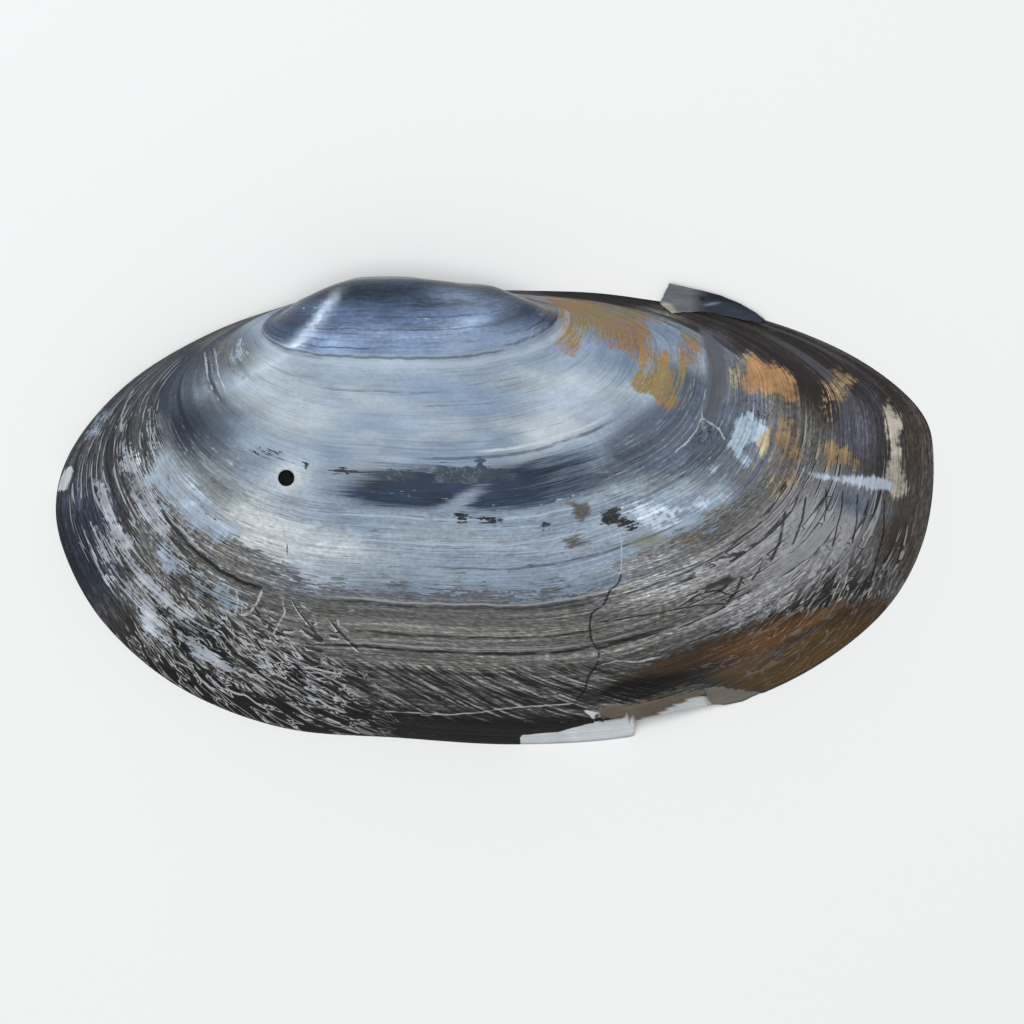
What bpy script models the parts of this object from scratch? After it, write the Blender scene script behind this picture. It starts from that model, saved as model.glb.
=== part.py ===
"""Left valve of a freshwater mussel shell, lying on its margin with the outside up.

Row frame: +X points to the back end of the shell, +Y to the hinge side, +Z out of the valve.
The margin lies in the plane Z = 0, and the origin is the centre of the bounding box on that plane.

The outside is grown as a mussel grows it. Every growth ring is a smaller copy of the margin,
which leans up round the hinge line, and the youngest rings curl over the hinge as the beak.
The inside is a second, smaller family of such rings.
"""

import math

import bmesh
import bpy
import numpy as np
from mathutils import Matrix, Vector

MM = 0.001

# Driving dimensions in millimetres.
SHELL_LENGTH = 120.0
RIM_WIDTH = 1.1
HINGE_PLATE_WIDTH = 3.0
DRILL_DIAMETER = 2.2

# The stations below are drawn for a valve this long, and follow SHELL_LENGTH.
DRAWN_LENGTH = 120.0
SCALE = SHELL_LENGTH / DRAWN_LENGTH * MM

# Plan of the margin, from the front end of the hinge round the belly to its back end.
# X runs from the beak to the back and Y from the hinge line to the hinge side.
MARGIN = (
    (-4.0, 0.0), (-9.5, -1.5), (-21.0, -5.5), (-32.0, -11.9), (-39.5, -19.8), (-42.7, -27.5),
    (-41.8, -35.5), (-36.3, -45.4), (-26.0, -54.2), (-12.0, -59.7), (4.0, -61.1), (20.0, -62.0),
    (36.0, -60.9), (49.0, -56.9), (61.0, -51.3), (70.5, -43.5), (75.6, -34.2), (77.0, -23.5),
    (75.0, -16.2), (66.0, -9.0), (52.7, -3.7), (38.2, -1.3), (30.0, -0.3), (20.0, 0.0),
)
HINGE_FRONT, HINGE_BACK = MARGIN[0][0], MARGIN[-1][0]

# Section from the hinge to the belly through the beak, one line for each growth stage:
# the stage, then how far its belly edge lies from the hinge line and above the margin plane.
# The stage is a share of full growth, and the other two are shares of the margin's own reach.
OUTSIDE_SECTION = (
    (0.0, 0.0, 0.0), (0.06, -0.012, 0.035), (0.11, -0.024, 0.08), (0.16, -0.026, 0.135),
    (0.22, 0.002, 0.205), (0.33, 0.147, 0.285), (0.50, 0.362, 0.333), (0.60, 0.482, 0.338),
    (0.76, 0.690, 0.277), (0.88, 0.850, 0.178), (0.95, 0.940, 0.085), (1.0, 1.0, 0.0),
)
INSIDE_SECTION = (
    (0.0, 0.0, 0.0), (0.11, 0.005, 0.070), (0.22, 0.030, 0.155), (0.33, 0.130, 0.250),
    (0.50, 0.345, 0.322), (0.60, 0.475, 0.330), (0.76, 0.690, 0.268), (0.88, 0.850, 0.166),
    (0.95, 0.940, 0.076), (1.0, 1.0, 0.0),
)

# The beak's front shoulder lies this much lower than its back one.
SHOULDER_DROP = 1.4

# Growth lines that stand out as steps: the stage, and the height of the step.
GROWTH_STEPS = (
    (0.33, 0.30), (0.42, 0.12), (0.50, 0.22), (0.60, 0.28), (0.68, 0.16),
    (0.765, 0.32), (0.83, 0.24), (0.89, 0.22), (0.945, 0.30),
)
STEP_RUN = 0.012
STEP_LENGTH = 0.035

# The low ridge that runs from the beak to the back end.
RIDGE_AIM = (76.0, -32.0)
RIDGE_HEIGHT = 0.9
RIDGE_HALF_WIDTH = 0.045

# Columns round the margin, and the rows that the inside has from the beak to the margin.
COLUMNS = 92
INSIDE_STAGES = (0.0, 0.08, 0.16, 0.24, 0.33, 0.42, 0.50, 0.60, 0.70, 0.79, 0.87, 0.94, 1.0)

# The drilled hole.
DRILL_PLACE = (-11.3, -25.9)
DRILL_SIDES = 32

# The piece broken out of the belly margin, in plan.
CHIP_OUTLINE = (
    (36.1, -64.5), (36.1, -58.6), (39.0, -58.2), (44.5, -56.9), (50.8, -56.2),
    (53.5, -54.9), (57.0, -55.0), (57.0, -64.5),
)
CHIP_HEIGHT = 8.0

# The torn flap that is left of the wing behind the hinge, in plan.
FLAP_OUTLINE = (
    (40.7, 0.95), (40.4, -0.7), (40.4, -1.7), (39.5, -1.9), (40.5, -3.4), (44.0, -4.6), (49.0, -5.4), (53.5, -5.6),
    (54.3, -4.3), (52.6, -3.0), (50.5, -2.0), (47.8, -0.9), (45.1, -0.05), (43.7, 0.25),
)
FLAP_BOTTOM, FLAP_THICKNESS = 0.3, 0.65

SHELL_COLOUR = (0.23, 0.27, 0.32, 1.0)


def smooth_line(stations, steps=16):
    """Points of a Catmull-Rom curve through the stations, as rows of an array."""
    p = np.array(stations, float)
    p = np.vstack([2 * p[0] - p[1], p, 2 * p[-1] - p[-2]])
    u = np.linspace(0.0, 1.0, steps, endpoint=False)[:, None]
    spans = [
        0.5 * (2 * b + (c - a) * u + (2 * a - 5 * b + 4 * c - d) * u**2 + (3 * b - a - 3 * c + d) * u**3)
        for a, b, c, d in zip(p, p[1:], p[2:], p[3:])
    ]
    return np.vstack([*spans, p[-2:-1]])


def evenly_spaced(line, count):
    """The line again, as that many points at equal distances along it."""
    along = np.concatenate([[0.0], np.cumsum(np.hypot(*np.diff(line, axis=0).T))])
    where = np.linspace(0.0, along[-1], count)
    return np.column_stack([np.interp(where, along, line[:, k]) for k in (0, 1)])


def inner_margin_of(margin):
    """The margin drawn in by the rim's width, and by the hinge plate's along the hinge line."""
    low, high = margin.min(axis=0), margin.max(axis=0)
    along = np.where(margin[:, 0] < 0.0, -low[0], high[0])
    x = margin[:, 0] * (1.0 - RIM_WIDTH / along)
    y = -HINGE_PLATE_WIDTH + margin[:, 1] * (1.0 - (RIM_WIDTH + HINGE_PLATE_WIDTH) / -low[1])
    return np.column_stack([x, y])


def ring_family(margin, section, stages, hinge_y=0.0, shoulder=0.0):
    """Rings of the shell as an array of stages by columns by XYZ.

    A ring is the margin scaled along X by its stage. Across X it leans in a plane
    through the hinge line, by the section's two shares of the margin's reach.
    """
    line = smooth_line(section)
    stages = np.asarray(stages, float)
    out = np.interp(stages, line[:, 0], line[:, 1])[:, None]
    up = np.interp(stages, line[:, 0], line[:, 2])[:, None]
    reach = margin[None, :, 1] - hinge_y
    # Where the beak curls over the hinge, the middle of a ring leans further than its ends.
    lean = np.where(out < 0.0, reach / reach.min(), 1.0)
    front = np.clip(margin[None, :, 0] / margin[:, 0].min(), 0.0, 1.0) ** 2
    drop = shoulder * front * np.sin(math.pi * np.minimum(stages / 0.44, 1.0))[:, None]
    y = hinge_y + out * reach * lean - drop
    return np.dstack([stages[:, None] * margin[None, :, 0], y, -up * reach])


def normals_of(rings):
    """Outward unit normals of a grid of points; the first rows use the row after them."""
    across = np.gradient(rings, axis=0)
    along = np.gradient(rings, axis=1)
    normal = np.cross(across, along)
    length = np.linalg.norm(normal, axis=2, keepdims=True)
    return normal / np.maximum(length, 1e-9)


def outside_stages():
    """Growth stages of the outside's rows: an even run, and a close pair at each step."""
    even = (0.0, 0.05, 0.10, 0.14, 0.18, 0.22, 0.27, 0.38, 0.46, 0.55, 0.64, 0.72, 0.80, 0.86, 0.92, 0.975, 1.0)
    steps = [stage + side for stage, _ in GROWTH_STEPS for side in (0.0, STEP_RUN)]
    return np.unique(np.round([*even, *steps], 4))


def step_relief(stages):
    """Height over the plain surface: it climbs up to each growth line, then drops."""
    height = np.zeros_like(stages)
    for stage, size in GROWTH_STEPS:
        before = np.exp((np.minimum(stages, stage) - stage) / STEP_LENGTH)
        height += size * np.where(stages <= stage + 1e-6, before, 0.0)
    return height


def ridge_relief(margin, stages):
    """Height of the back ridge: a low swell along the columns that end near RIDGE_AIM."""
    place = np.linspace(0.0, 1.0, len(margin))
    aim = place[np.argmin(np.hypot(*(margin - RIDGE_AIM).T))]
    swell = np.exp(-(((place - aim) / RIDGE_HALF_WIDTH) ** 2))
    return RIDGE_HEIGHT * np.outer(np.sin(math.pi * stages) ** 0.7, swell)


def outside_rings(margin):
    stages = outside_stages()
    rings = ring_family(margin, OUTSIDE_SECTION, stages, shoulder=SHOULDER_DROP)
    relief = ridge_relief(margin, stages) + step_relief(stages)[:, None]
    # The relief dies out along the hinge line and at the margin, which stay straight and flat.
    clear_of_hinge = np.clip(-margin[:, 1] / 20.0, 0.0, 1.0)[None, :]
    clear_of_edges = np.clip(np.minimum(stages / 0.3, (1.0 - stages) / 0.04), 0.0, 1.0)[:, None]
    return rings + normals_of(rings) * (relief * clear_of_hinge * clear_of_edges)[:, :, None]


def add_grid(bm, rings, outward):
    """Vertices and faces of a grid whose first row is a single point; returns the vertex rows."""
    tip = bm.verts.new(rings[0, 0])
    rows = [[tip] * rings.shape[1]]
    rows += [[bm.verts.new(point) for point in ring] for ring in rings[1:]]
    for upper, lower in zip(rows, rows[1:]):
        for k in range(len(upper) - 1):
            corners = [upper[k], upper[k + 1], lower[k + 1], lower[k]]
            corners = list(dict.fromkeys(corners))
            bm.faces.new(corners if outward else corners[::-1])
    return rows


def loft_valve(collection):
    """The closed wall of the valve: outside, inside, and the flat rim and hinge plate between."""
    margin = evenly_spaced(smooth_line(MARGIN), COLUMNS)
    inner_margin = inner_margin_of(margin)
    bm = bmesh.new()
    outer = add_grid(bm, outside_rings(margin) * SCALE, outward=False)
    inside = ring_family(inner_margin, INSIDE_SECTION, INSIDE_STAGES, -HINGE_PLATE_WIDTH)
    inner = add_grid(bm, inside * SCALE, outward=True)
    for k in range(COLUMNS - 1):
        bm.faces.new([outer[-1][k], outer[-1][k + 1], inner[-1][k + 1], inner[-1][k]])
    outer_hinge = [row[0] for row in outer[::-1]] + [row[-1] for row in outer[1:]]
    inner_hinge = [row[0] for row in inner[::-1]] + [row[-1] for row in inner[1:]]
    bm.faces.new(outer_hinge + inner_hinge[::-1])
    bmesh.ops.recalc_face_normals(bm, faces=bm.faces)
    mesh = bpy.data.meshes.new("valve")
    bm.to_mesh(mesh)
    bm.free()
    valve = bpy.data.objects.new("valve", mesh)
    collection.objects.link(valve)
    return valve


def prism(name, outline, bottom, height, collection):
    """An upright prism over a plan outline, from bottom up, as a helper for a Boolean."""
    bm = bmesh.new()
    base = [bm.verts.new(Vector((x, y, bottom)) * SCALE) for x, y in outline]
    grown = bmesh.ops.extrude_face_region(bm, geom=[bm.faces.new(base)])
    top = [v for v in grown["geom"] if isinstance(v, bmesh.types.BMVert)]
    bmesh.ops.translate(bm, verts=top, vec=(0.0, 0.0, height * SCALE))
    bmesh.ops.recalc_face_normals(bm, faces=bm.faces)
    return helper(name, bm, collection)


def drill(collection):
    """The drill that made the round hole, upright over its place."""
    bm = bmesh.new()
    radius = DRILL_DIAMETER / 2 * SCALE
    bmesh.ops.create_cone(
        bm, cap_ends=True, segments=DRILL_SIDES, radius1=radius, radius2=radius, depth=40.0 * SCALE
    )
    bmesh.ops.translate(bm, verts=bm.verts, vec=Vector((*DRILL_PLACE, 20.0)) * SCALE)
    return helper("drill", bm, collection)


def helper(name, bm, collection):
    mesh = bpy.data.meshes.new(name)
    bm.to_mesh(mesh)
    bm.free()
    obj = bpy.data.objects.new(name, mesh)
    obj.hide_render = True
    obj.display_type = "WIRE"
    collection.objects.link(obj)
    return obj


def combine(target, other, operation):
    boolean = target.modifiers.new(f"{operation.lower()} {other.name}", "BOOLEAN")
    boolean.operation = operation
    boolean.object = other
    boolean.solver = "EXACT"


def centre_on_base(objects):
    """Moves everything so that the valve's bounding box stands centred on the origin."""
    bpy.context.view_layer.update()
    valve = objects[0].evaluated_get(bpy.context.evaluated_depsgraph_get())
    corners = [Vector(corner) for corner in valve.bound_box]
    low = [min(c[k] for c in corners) for k in range(3)]
    high = [max(c[k] for c in corners) for k in range(3)]
    shift = Vector((-(low[0] + high[0]) / 2, -(low[1] + high[1]) / 2, -low[2]))
    for obj in objects:
        obj.data.transform(Matrix.Translation(shift))


def shell_material():
    material = bpy.data.materials.new("shell")
    material.use_nodes = True
    surface = material.node_tree.nodes["Principled BSDF"]
    surface.inputs["Base Color"].default_value = SHELL_COLOUR
    surface.inputs["Roughness"].default_value = 0.45
    surface.inputs["Metallic"].default_value = 0.0
    return material


def main():
    for obj in list(bpy.data.objects):
        bpy.data.objects.remove(obj, do_unlink=True)
    shell = bpy.data.collections.new("mussel_shell")
    helpers = bpy.data.collections.new("helpers")
    for collection in (shell, helpers):
        bpy.context.scene.collection.children.link(collection)

    valve = loft_valve(shell)
    flap = prism("flap", FLAP_OUTLINE, FLAP_BOTTOM, FLAP_THICKNESS, helpers)
    chip = prism("chip", CHIP_OUTLINE, -2.0, CHIP_HEIGHT + 2.0, helpers)
    hole = drill(helpers)
    combine(valve, flap, "UNION")
    combine(valve, chip, "DIFFERENCE")
    combine(valve, hole, "DIFFERENCE")
    valve.data.materials.append(shell_material())
    centre_on_base([valve, flap, chip, hole])


main()
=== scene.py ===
# A left valve of a freshwater mussel, lying on its margin with the outside up.
import bpy
import math
import numpy as np
from mathutils import Matrix, Vector


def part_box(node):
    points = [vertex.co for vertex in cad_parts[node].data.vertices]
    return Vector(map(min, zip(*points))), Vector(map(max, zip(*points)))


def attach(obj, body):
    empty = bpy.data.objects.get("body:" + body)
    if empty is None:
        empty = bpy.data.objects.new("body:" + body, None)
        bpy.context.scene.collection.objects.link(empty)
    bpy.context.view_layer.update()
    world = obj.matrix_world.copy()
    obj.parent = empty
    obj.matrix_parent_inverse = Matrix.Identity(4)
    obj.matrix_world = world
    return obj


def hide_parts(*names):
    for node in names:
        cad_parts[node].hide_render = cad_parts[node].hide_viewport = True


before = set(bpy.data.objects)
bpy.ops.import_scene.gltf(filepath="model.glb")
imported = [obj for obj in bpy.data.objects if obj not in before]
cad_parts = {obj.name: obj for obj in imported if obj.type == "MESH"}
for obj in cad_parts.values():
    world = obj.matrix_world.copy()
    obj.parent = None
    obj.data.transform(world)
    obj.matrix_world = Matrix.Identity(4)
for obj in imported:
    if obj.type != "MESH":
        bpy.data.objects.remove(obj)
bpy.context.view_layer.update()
print("frame loaded")

# The valve's shape, in millimetres from the beak's foot: x to the back end, y to the hinge side, z out.
valve = {
    "margin": (
        (-4.0, 0.0), (-9.5, -1.5), (-21.0, -5.5), (-32.0, -11.9), (-39.5, -19.8), (-42.7, -27.5),
        (-41.8, -35.5), (-36.3, -45.4), (-26.0, -54.2), (-12.0, -59.7), (4.0, -61.1), (20.0, -62.0),
        (36.0, -60.9), (49.0, -56.9), (61.0, -51.3), (70.5, -43.5), (75.6, -34.2), (77.0, -23.5),
        (75.0, -16.2), (66.0, -9.0), (52.7, -3.7), (38.2, -1.3), (30.0, -0.3), (20.0, 0.0),
    ),
    # stage of growth, and the ring's share of the margin's reach: outwards, and up
    "outside": (
        (0.0, 0.0, 0.0), (0.06, -0.012, 0.035), (0.11, -0.024, 0.08), (0.16, -0.026, 0.135),
        (0.22, 0.002, 0.205), (0.33, 0.147, 0.285), (0.50, 0.362, 0.333), (0.60, 0.482, 0.338),
        (0.76, 0.690, 0.277), (0.88, 0.850, 0.178), (0.95, 0.940, 0.085), (1.0, 1.0, 0.0),
    ),
    "inside": (
        (0.0, 0.0, 0.0), (0.11, 0.005, 0.070), (0.22, 0.030, 0.155), (0.33, 0.130, 0.250),
        (0.50, 0.345, 0.322), (0.60, 0.475, 0.330), (0.76, 0.690, 0.268), (0.88, 0.850, 0.166),
        (0.95, 0.940, 0.076), (1.0, 1.0, 0.0),
    ),
    "shoulderDrop": 1.4,
    "rimWidth": 1.1,
    "hingePlateWidth": 3.0,
    "columns": 440,
    "umboRows": 34, "bodyRows": 142, "insideRows": 42,
    # growth lines that stand out: stage, and height of the step
    "growthSteps": (
        (0.336, 0.22), (0.42, 0.08), (0.50, 0.14), (0.60, 0.18), (0.68, 0.12),
        (0.765, 0.30), (0.83, 0.22), (0.89, 0.20), (0.945, 0.30),
    ),
    "stepLength": 0.035, "stepRun": 0.006, "stepWaver": 0.006,
    "skinRelief": {"fine": 0.030, "ridges": 0.08, "grooves": 0.32, "slant": 0.16, "tangle": 0.20},
    # where the relief dies out: millimetres from the hinge line, and shares of the growth
    "hingeFade": 16.0, "tipFade": 0.3, "rimFade": 0.02,
    "domeEdge": (0.328, 0.337),  # stages between which the beak's dark dome ends
    "ridgeAim": (76.0, -32.0), "ridgeHeight": 0.9, "ridgeHalfWidth": 0.045,
    "holePlace": (-10.9, -25.7), "holeRadius": 1.1,
    # each ring round the hole: how far outside its radius, and how far below the surface
    "outerHoleRings": ((0.45, 0.0), (0.12, 0.04), (0.0, 0.18)), "innerHoleRings": ((0.1, 0.0), (0.0, 0.0)),
}


# Smooth line: each span between stations is the Catmull-Rom cubic of its four nearest stations.
def smoothLine(stations, steps=24):
    p = np.array(stations, float)
    p = np.vstack([2 * p[0] - p[1], p, 2 * p[-1] - p[-2]])
    u = np.linspace(0.0, 1.0, steps, endpoint=False)[:, None]
    spans = [
        0.5 * (2 * b + (c - a) * u + (2 * a - 5 * b + 4 * c - d) * u**2 + (3 * b - a - 3 * c + d) * u**3)
        for a, b, c, d in zip(p, p[1:], p[2:], p[3:])
    ]
    return np.vstack([*spans, p[-2:-1]])


marginLine = smoothLine(valve["margin"])
marginRun = np.concatenate([[0.0], np.cumsum(np.hypot(*np.diff(marginLine, axis=0).T))])
marginLength = marginRun[-1]
marginRun /= marginLength
outsideLine, insideLine = smoothLine(valve["outside"]), smoothLine(valve["inside"])


# Margin: the smooth line read at a share of its length, from the hinge's front end round to its back.
def marginAt(around):
    return [np.interp(around, marginRun, marginLine[:, k]) for k in (0, 1)]


# Outside: x = stage * margin x, y = out(stage) * margin y, z = -up(stage) * margin y.
def outsideSurface(stage, around):
    x, y = marginAt(around)
    out, up = (np.interp(stage, outsideLine[:, 0], outsideLine[:, k]) for k in (1, 2))
    lean = np.where(out < 0.0, y / marginLine[:, 1].min(), 1.0)
    front = np.clip(x / marginLine[:, 0].min(), 0.0, 1.0) ** 2
    drop = valve["shoulderDrop"] * front * np.sin(math.pi * np.minimum(stage / 0.44, 1.0))
    return np.stack(np.broadcast_arrays(stage * x, out * y * lean - drop, -up * y), axis=-1)


# Inside: the same rule for a margin drawn in by the rim's width, hung from the hinge plate's inner edge.
def insideSurface(stage, around):
    x, y = marginAt(around)
    low, high = marginLine.min(axis=0), marginLine.max(axis=0)
    x = x * (1.0 - valve["rimWidth"] / np.where(x < 0.0, -low[0], high[0]))
    y = y * (1.0 - (valve["rimWidth"] + valve["hingePlateWidth"]) / -low[1])
    out, up = (np.interp(stage, insideLine[:, 0], insideLine[:, k]) for k in (1, 2))
    hinge = -valve["hingePlateWidth"]
    return np.stack(np.broadcast_arrays(stage * x, hinge + out * y, -up * y), axis=-1)


# Wander: random heights from -1 to 1 at whole-number points, blended between them by 3t^2 - 2t^3.
def wander(u, v, seed=0):
    u, v = np.broadcast_arrays(u, v)
    iu, iv = np.floor(u), np.floor(v)
    fu, fv = u - iu, v - iv
    fu, fv = fu * fu * (3 - 2 * fu), fv * fv * (3 - 2 * fv)

    def height(a, b):
        h = np.sin(a * 127.1 + b * 311.7 + seed * 74.7) * 43758.5453
        return 2.0 * (h - np.floor(h)) - 1.0

    near = height(iu, iv) * (1 - fu) + height(iu + 1, iv) * fu
    far = height(iu, iv + 1) * (1 - fu) + height(iu + 1, iv + 1) * fu
    return near * (1 - fv) + far * fv


# Rough: wander added to itself at twice the pitch and half the height, a few times over.
def rough(u, v, seed=0, layers=3):
    return sum(wander(u * 2**k, v * 2**k, seed + k) / 2**k for k in range(layers)) / 1.6


# Rise: 0 below low, 1 above high, and 3t^2 - 2t^3 in between.
def rise(value, low, high):
    t = np.clip((value - low) / (high - low), 0.0, 1.0)
    return t * t * (3 - 2 * t)


# Window: 1 between two values, falling to 0 over soft on either side.
def window(value, low, high, soft):
    return rise(value, low - soft, low + soft) * (1.0 - rise(value, high - soft, high + soft))


# Patch: 1 at a place, falling to 0 at the edge of an ellipse that is turned by so many degrees.
def patch(x, y, place, size, turn=0.0):
    c, s = math.cos(math.radians(turn)), math.sin(math.radians(turn))
    dx, dy = x - place[0], y - place[1]
    r = np.hypot((c * dx + s * dy) / size[0], (c * dy - s * dx) / size[1])
    return 1.0 - rise(r, 0.0, 1.0)


# Patches: the sum of some patches, each times its strength.
def patches(x, y, places):
    return sum(strength * patch(x, y, place, size, turn) for place, size, turn, strength in places)


# Normals: the cross product of the grid's two slopes, made one unit long.
def gridNormals(grid):
    normal = np.cross(np.gradient(grid, axis=0), np.gradient(grid, axis=1))
    return normal / np.maximum(np.linalg.norm(normal, axis=2, keepdims=True), 1e-9)


# Growth steps: the surface climbs up to each growth line by e^-distance, then drops back at once.
def growthSteps(stage, around):
    height = 0.0
    for k, (at, size) in enumerate(valve["growthSteps"]):
        line = at + valve["stepWaver"] * rough(around * 14, 0.0, seed=40 + k)
        climb = np.exp((np.minimum(stage, line) - line) / valve["stepLength"])
        drop = 1.0 - rise(stage, line, line + valve["stepRun"])
        height = height + size * climb * drop * (1.0 + 0.5 * wander(around * 9, 0.0, seed=60 + k))
    return height


# Back ridge: a low swell along the columns that end near the ridge's aim.
def backRidge(stage, around):
    x, y = marginAt(around)
    table = np.linspace(0.0, 1.0, 801)
    tx, ty = marginAt(table)
    aim = table[np.argmin(np.hypot(tx - valve["ridgeAim"][0], ty - valve["ridgeAim"][1]))]
    swell = np.exp(-(((around - aim) / valve["ridgeHalfWidth"]) ** 2))
    return valve["ridgeHeight"] * np.sin(math.pi * stage) ** 0.7 * swell


# Skin relief: fine ridges along the growth lines, strong grooves at the back, and slanting wrinkles.
def skinRelief(stage, around):
    size = valve["skinRelief"]
    fine = size["fine"] * rough(around * 26, stage * 120, seed=3) * rise(stage, 0.30, 0.60)
    ridges = size["ridges"] * rough(around * 22, stage * 62, seed=7) * rise(stage, 0.72, 0.80)
    back = window(around, 0.655, 0.80, 0.03) * rise(stage, 0.74, 0.84)
    bend = 3 * wander(around * 9, stage * 9, 12)
    grooves = -size["grooves"] * rise(rough(around * 20 + bend, stage * 44, seed=9), 0.10, 0.62) * back
    belly = window(around, 0.33, 0.53, 0.03) * window(stage, 0.86, 0.945, 0.015)
    slanting = rough(around * 75 + stage * 48, stage * 30 - around * 14, seed=17)
    slant = -size["slant"] * rise(slanting, 0.05, 0.6) * belly
    front = window(around, 0.26, 0.36, 0.02) * rise(stage, 0.80, 0.88)
    bend = 2 * wander(around * 30, stage * 30, 5)
    tangle = -size["tangle"] * rise(rough(around * 70 + bend, stage * 50, seed=23), 0.05, 0.55) * front
    return fine + ridges + grooves + slant + tangle


# Outside relief in millimetres, dying out at the hinge line, the beak's tip and the margin.
def outsideRelief(stage, around):
    relief = backRidge(stage, around) + growthSteps(stage, around) + skinRelief(stage, around)
    nearHinge = np.clip(-marginAt(around)[1] / valve["hingeFade"], 0.0, 1.0)
    nearTip = np.clip(stage / valve["tipFade"], 0.0, 1.0)
    return relief * nearHinge * nearTip * np.clip((1.0 - stage) / valve["rimFade"], 0.0, 1.0)


# The piece broken out of the belly margin: everything below this line, between its two ends.
brokenMargin = {
    "from": 0.85,  # the stage past which rows are squeezed
    "line": ((36.1, -58.6), (39.0, -58.2), (44.5, -56.9), (50.8, -56.2), (53.5, -54.9), (57.0, -55.0)),
    "raggedness": 0.18,
}


# Stage at which each column meets the broken line, read from a run of trial stages; 1 where it doesn't.
def brokenStage(surface, around):
    trial = np.linspace(brokenMargin["from"], 1.0, 301)[:, None]
    points = surface(trial, around[None, :])
    line = np.array(brokenMargin["line"])
    edge = np.interp(points[..., 0], line[:, 0], line[:, 1], left=-99.0, right=-99.0)
    edge = edge + brokenMargin["raggedness"] * rough(points[..., 0] * 1.1, 0.0, seed=31)
    gone = points[..., 1] < edge
    return np.where(gone.any(axis=0), trial[np.argmax(gone, axis=0), 0], 1.0)


# Rows squeezed so that the last one ends at the broken stage. Past the stage where that starts,
# each row keeps its share of what is left.
def squeezed(rows, last):
    rows, start = rows[:, None] + 0.0 * last[None, :], brokenMargin["from"]
    return np.where(rows > start, start + (rows - start) * (last[None, :] - start) / (1.0 - start), rows)


around = np.linspace(0.0, 1.0, valve["columns"])
rowsOut = np.unique(np.concatenate([
    np.linspace(0.0, 0.33, valve["umboRows"]), np.linspace(0.33, 1.0, valve["bodyRows"])]))
rowsIn = np.linspace(0.0, 1.0, valve["insideRows"])

stageOut = squeezed(rowsOut, brokenStage(outsideSurface, around))
stageIn = squeezed(rowsIn, brokenStage(insideSurface, around))
aroundOut = np.broadcast_to(around, stageOut.shape)
aroundIn = np.broadcast_to(around, stageIn.shape)

outer = outsideSurface(stageOut, aroundOut)
outer = outer + gridNormals(outer) * outsideRelief(stageOut, aroundOut)[..., None]
outer[..., 2] = np.maximum(outer[..., 2], 0.0)
inner = insideSurface(stageIn, aroundIn)
print("surfaces worked out")

# The valve's place: its front end and belly edge lie on the solid's own box.
boxLow = np.array(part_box("valve")[0]) * 1000.0
place = np.array([boxLow[0] - outer[..., 0].min(), boxLow[1] - outer[..., 1].min(), 0.0])


# One vertex list with its faces: grids give quads, and a first row that is one point gives triangles.
class MeshParts:
    def __init__(self):
        self.points, self.stages, self.arounds, self.sides = [], [], [], []
        self.faces, self.materials = [], []
        self.count = 0

    def addPoints(self, points, stage, around, side):
        points = np.asarray(points, float).reshape(-1, 3)
        first = self.count
        self.points.append(points)
        self.stages.append(np.broadcast_to(np.ravel(stage), len(points)))
        self.arounds.append(np.broadcast_to(np.ravel(around), len(points)))
        self.sides.append(np.full(len(points), side))
        self.count += len(points)
        return first + np.arange(len(points))

    def addFaces(self, faces, material):
        faces = np.asarray(faces).tolist()
        self.faces += faces
        self.materials += [material] * len(faces)


parts = MeshParts()


# Grid: one point at the beak's tip, then all the other rows; returns the vertex number of each place.
def addGrid(grid, stage, aroundGrid, side):
    tip = parts.addPoints(grid[0, 0], 0.0, 0.5, side)
    rest = parts.addPoints(grid[1:], stage[1:], aroundGrid[1:], side).reshape(grid.shape[0] - 1, -1)
    return np.vstack([np.repeat(tip, grid.shape[1])[None, :], rest])


# Faces between the rows and columns of a grid of vertex numbers, left out where skip is true.
def gridFaces(index, flip, material, skip=None):
    a, b, c, d = index[:-1, :-1], index[:-1, 1:], index[1:, 1:], index[1:, :-1]
    quads = np.stack([a, b, c, d] if flip else [a, d, c, b], axis=-1)
    keep = np.ones(a.shape, bool) if skip is None else ~skip
    keep[0] = False
    parts.addFaces(quads[keep], material)
    tips = np.stack([a, c, d] if flip else [a, d, c], axis=-1)[0]
    parts.addFaces(tips, material)


# Loop round a block of the grid: along its first row, down its last column, and back.
def blockLoop(r0, r1, c0, c1):
    top = [(r0, c) for c in range(c0, c1)]
    right = [(r, c1) for r in range(r0, r1)]
    bottom = [(r1, c) for c in range(c1, c0, -1)]
    left = [(r, c0) for r in range(r1, r0, -1)]
    return np.array(top + right + bottom + left)


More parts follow.
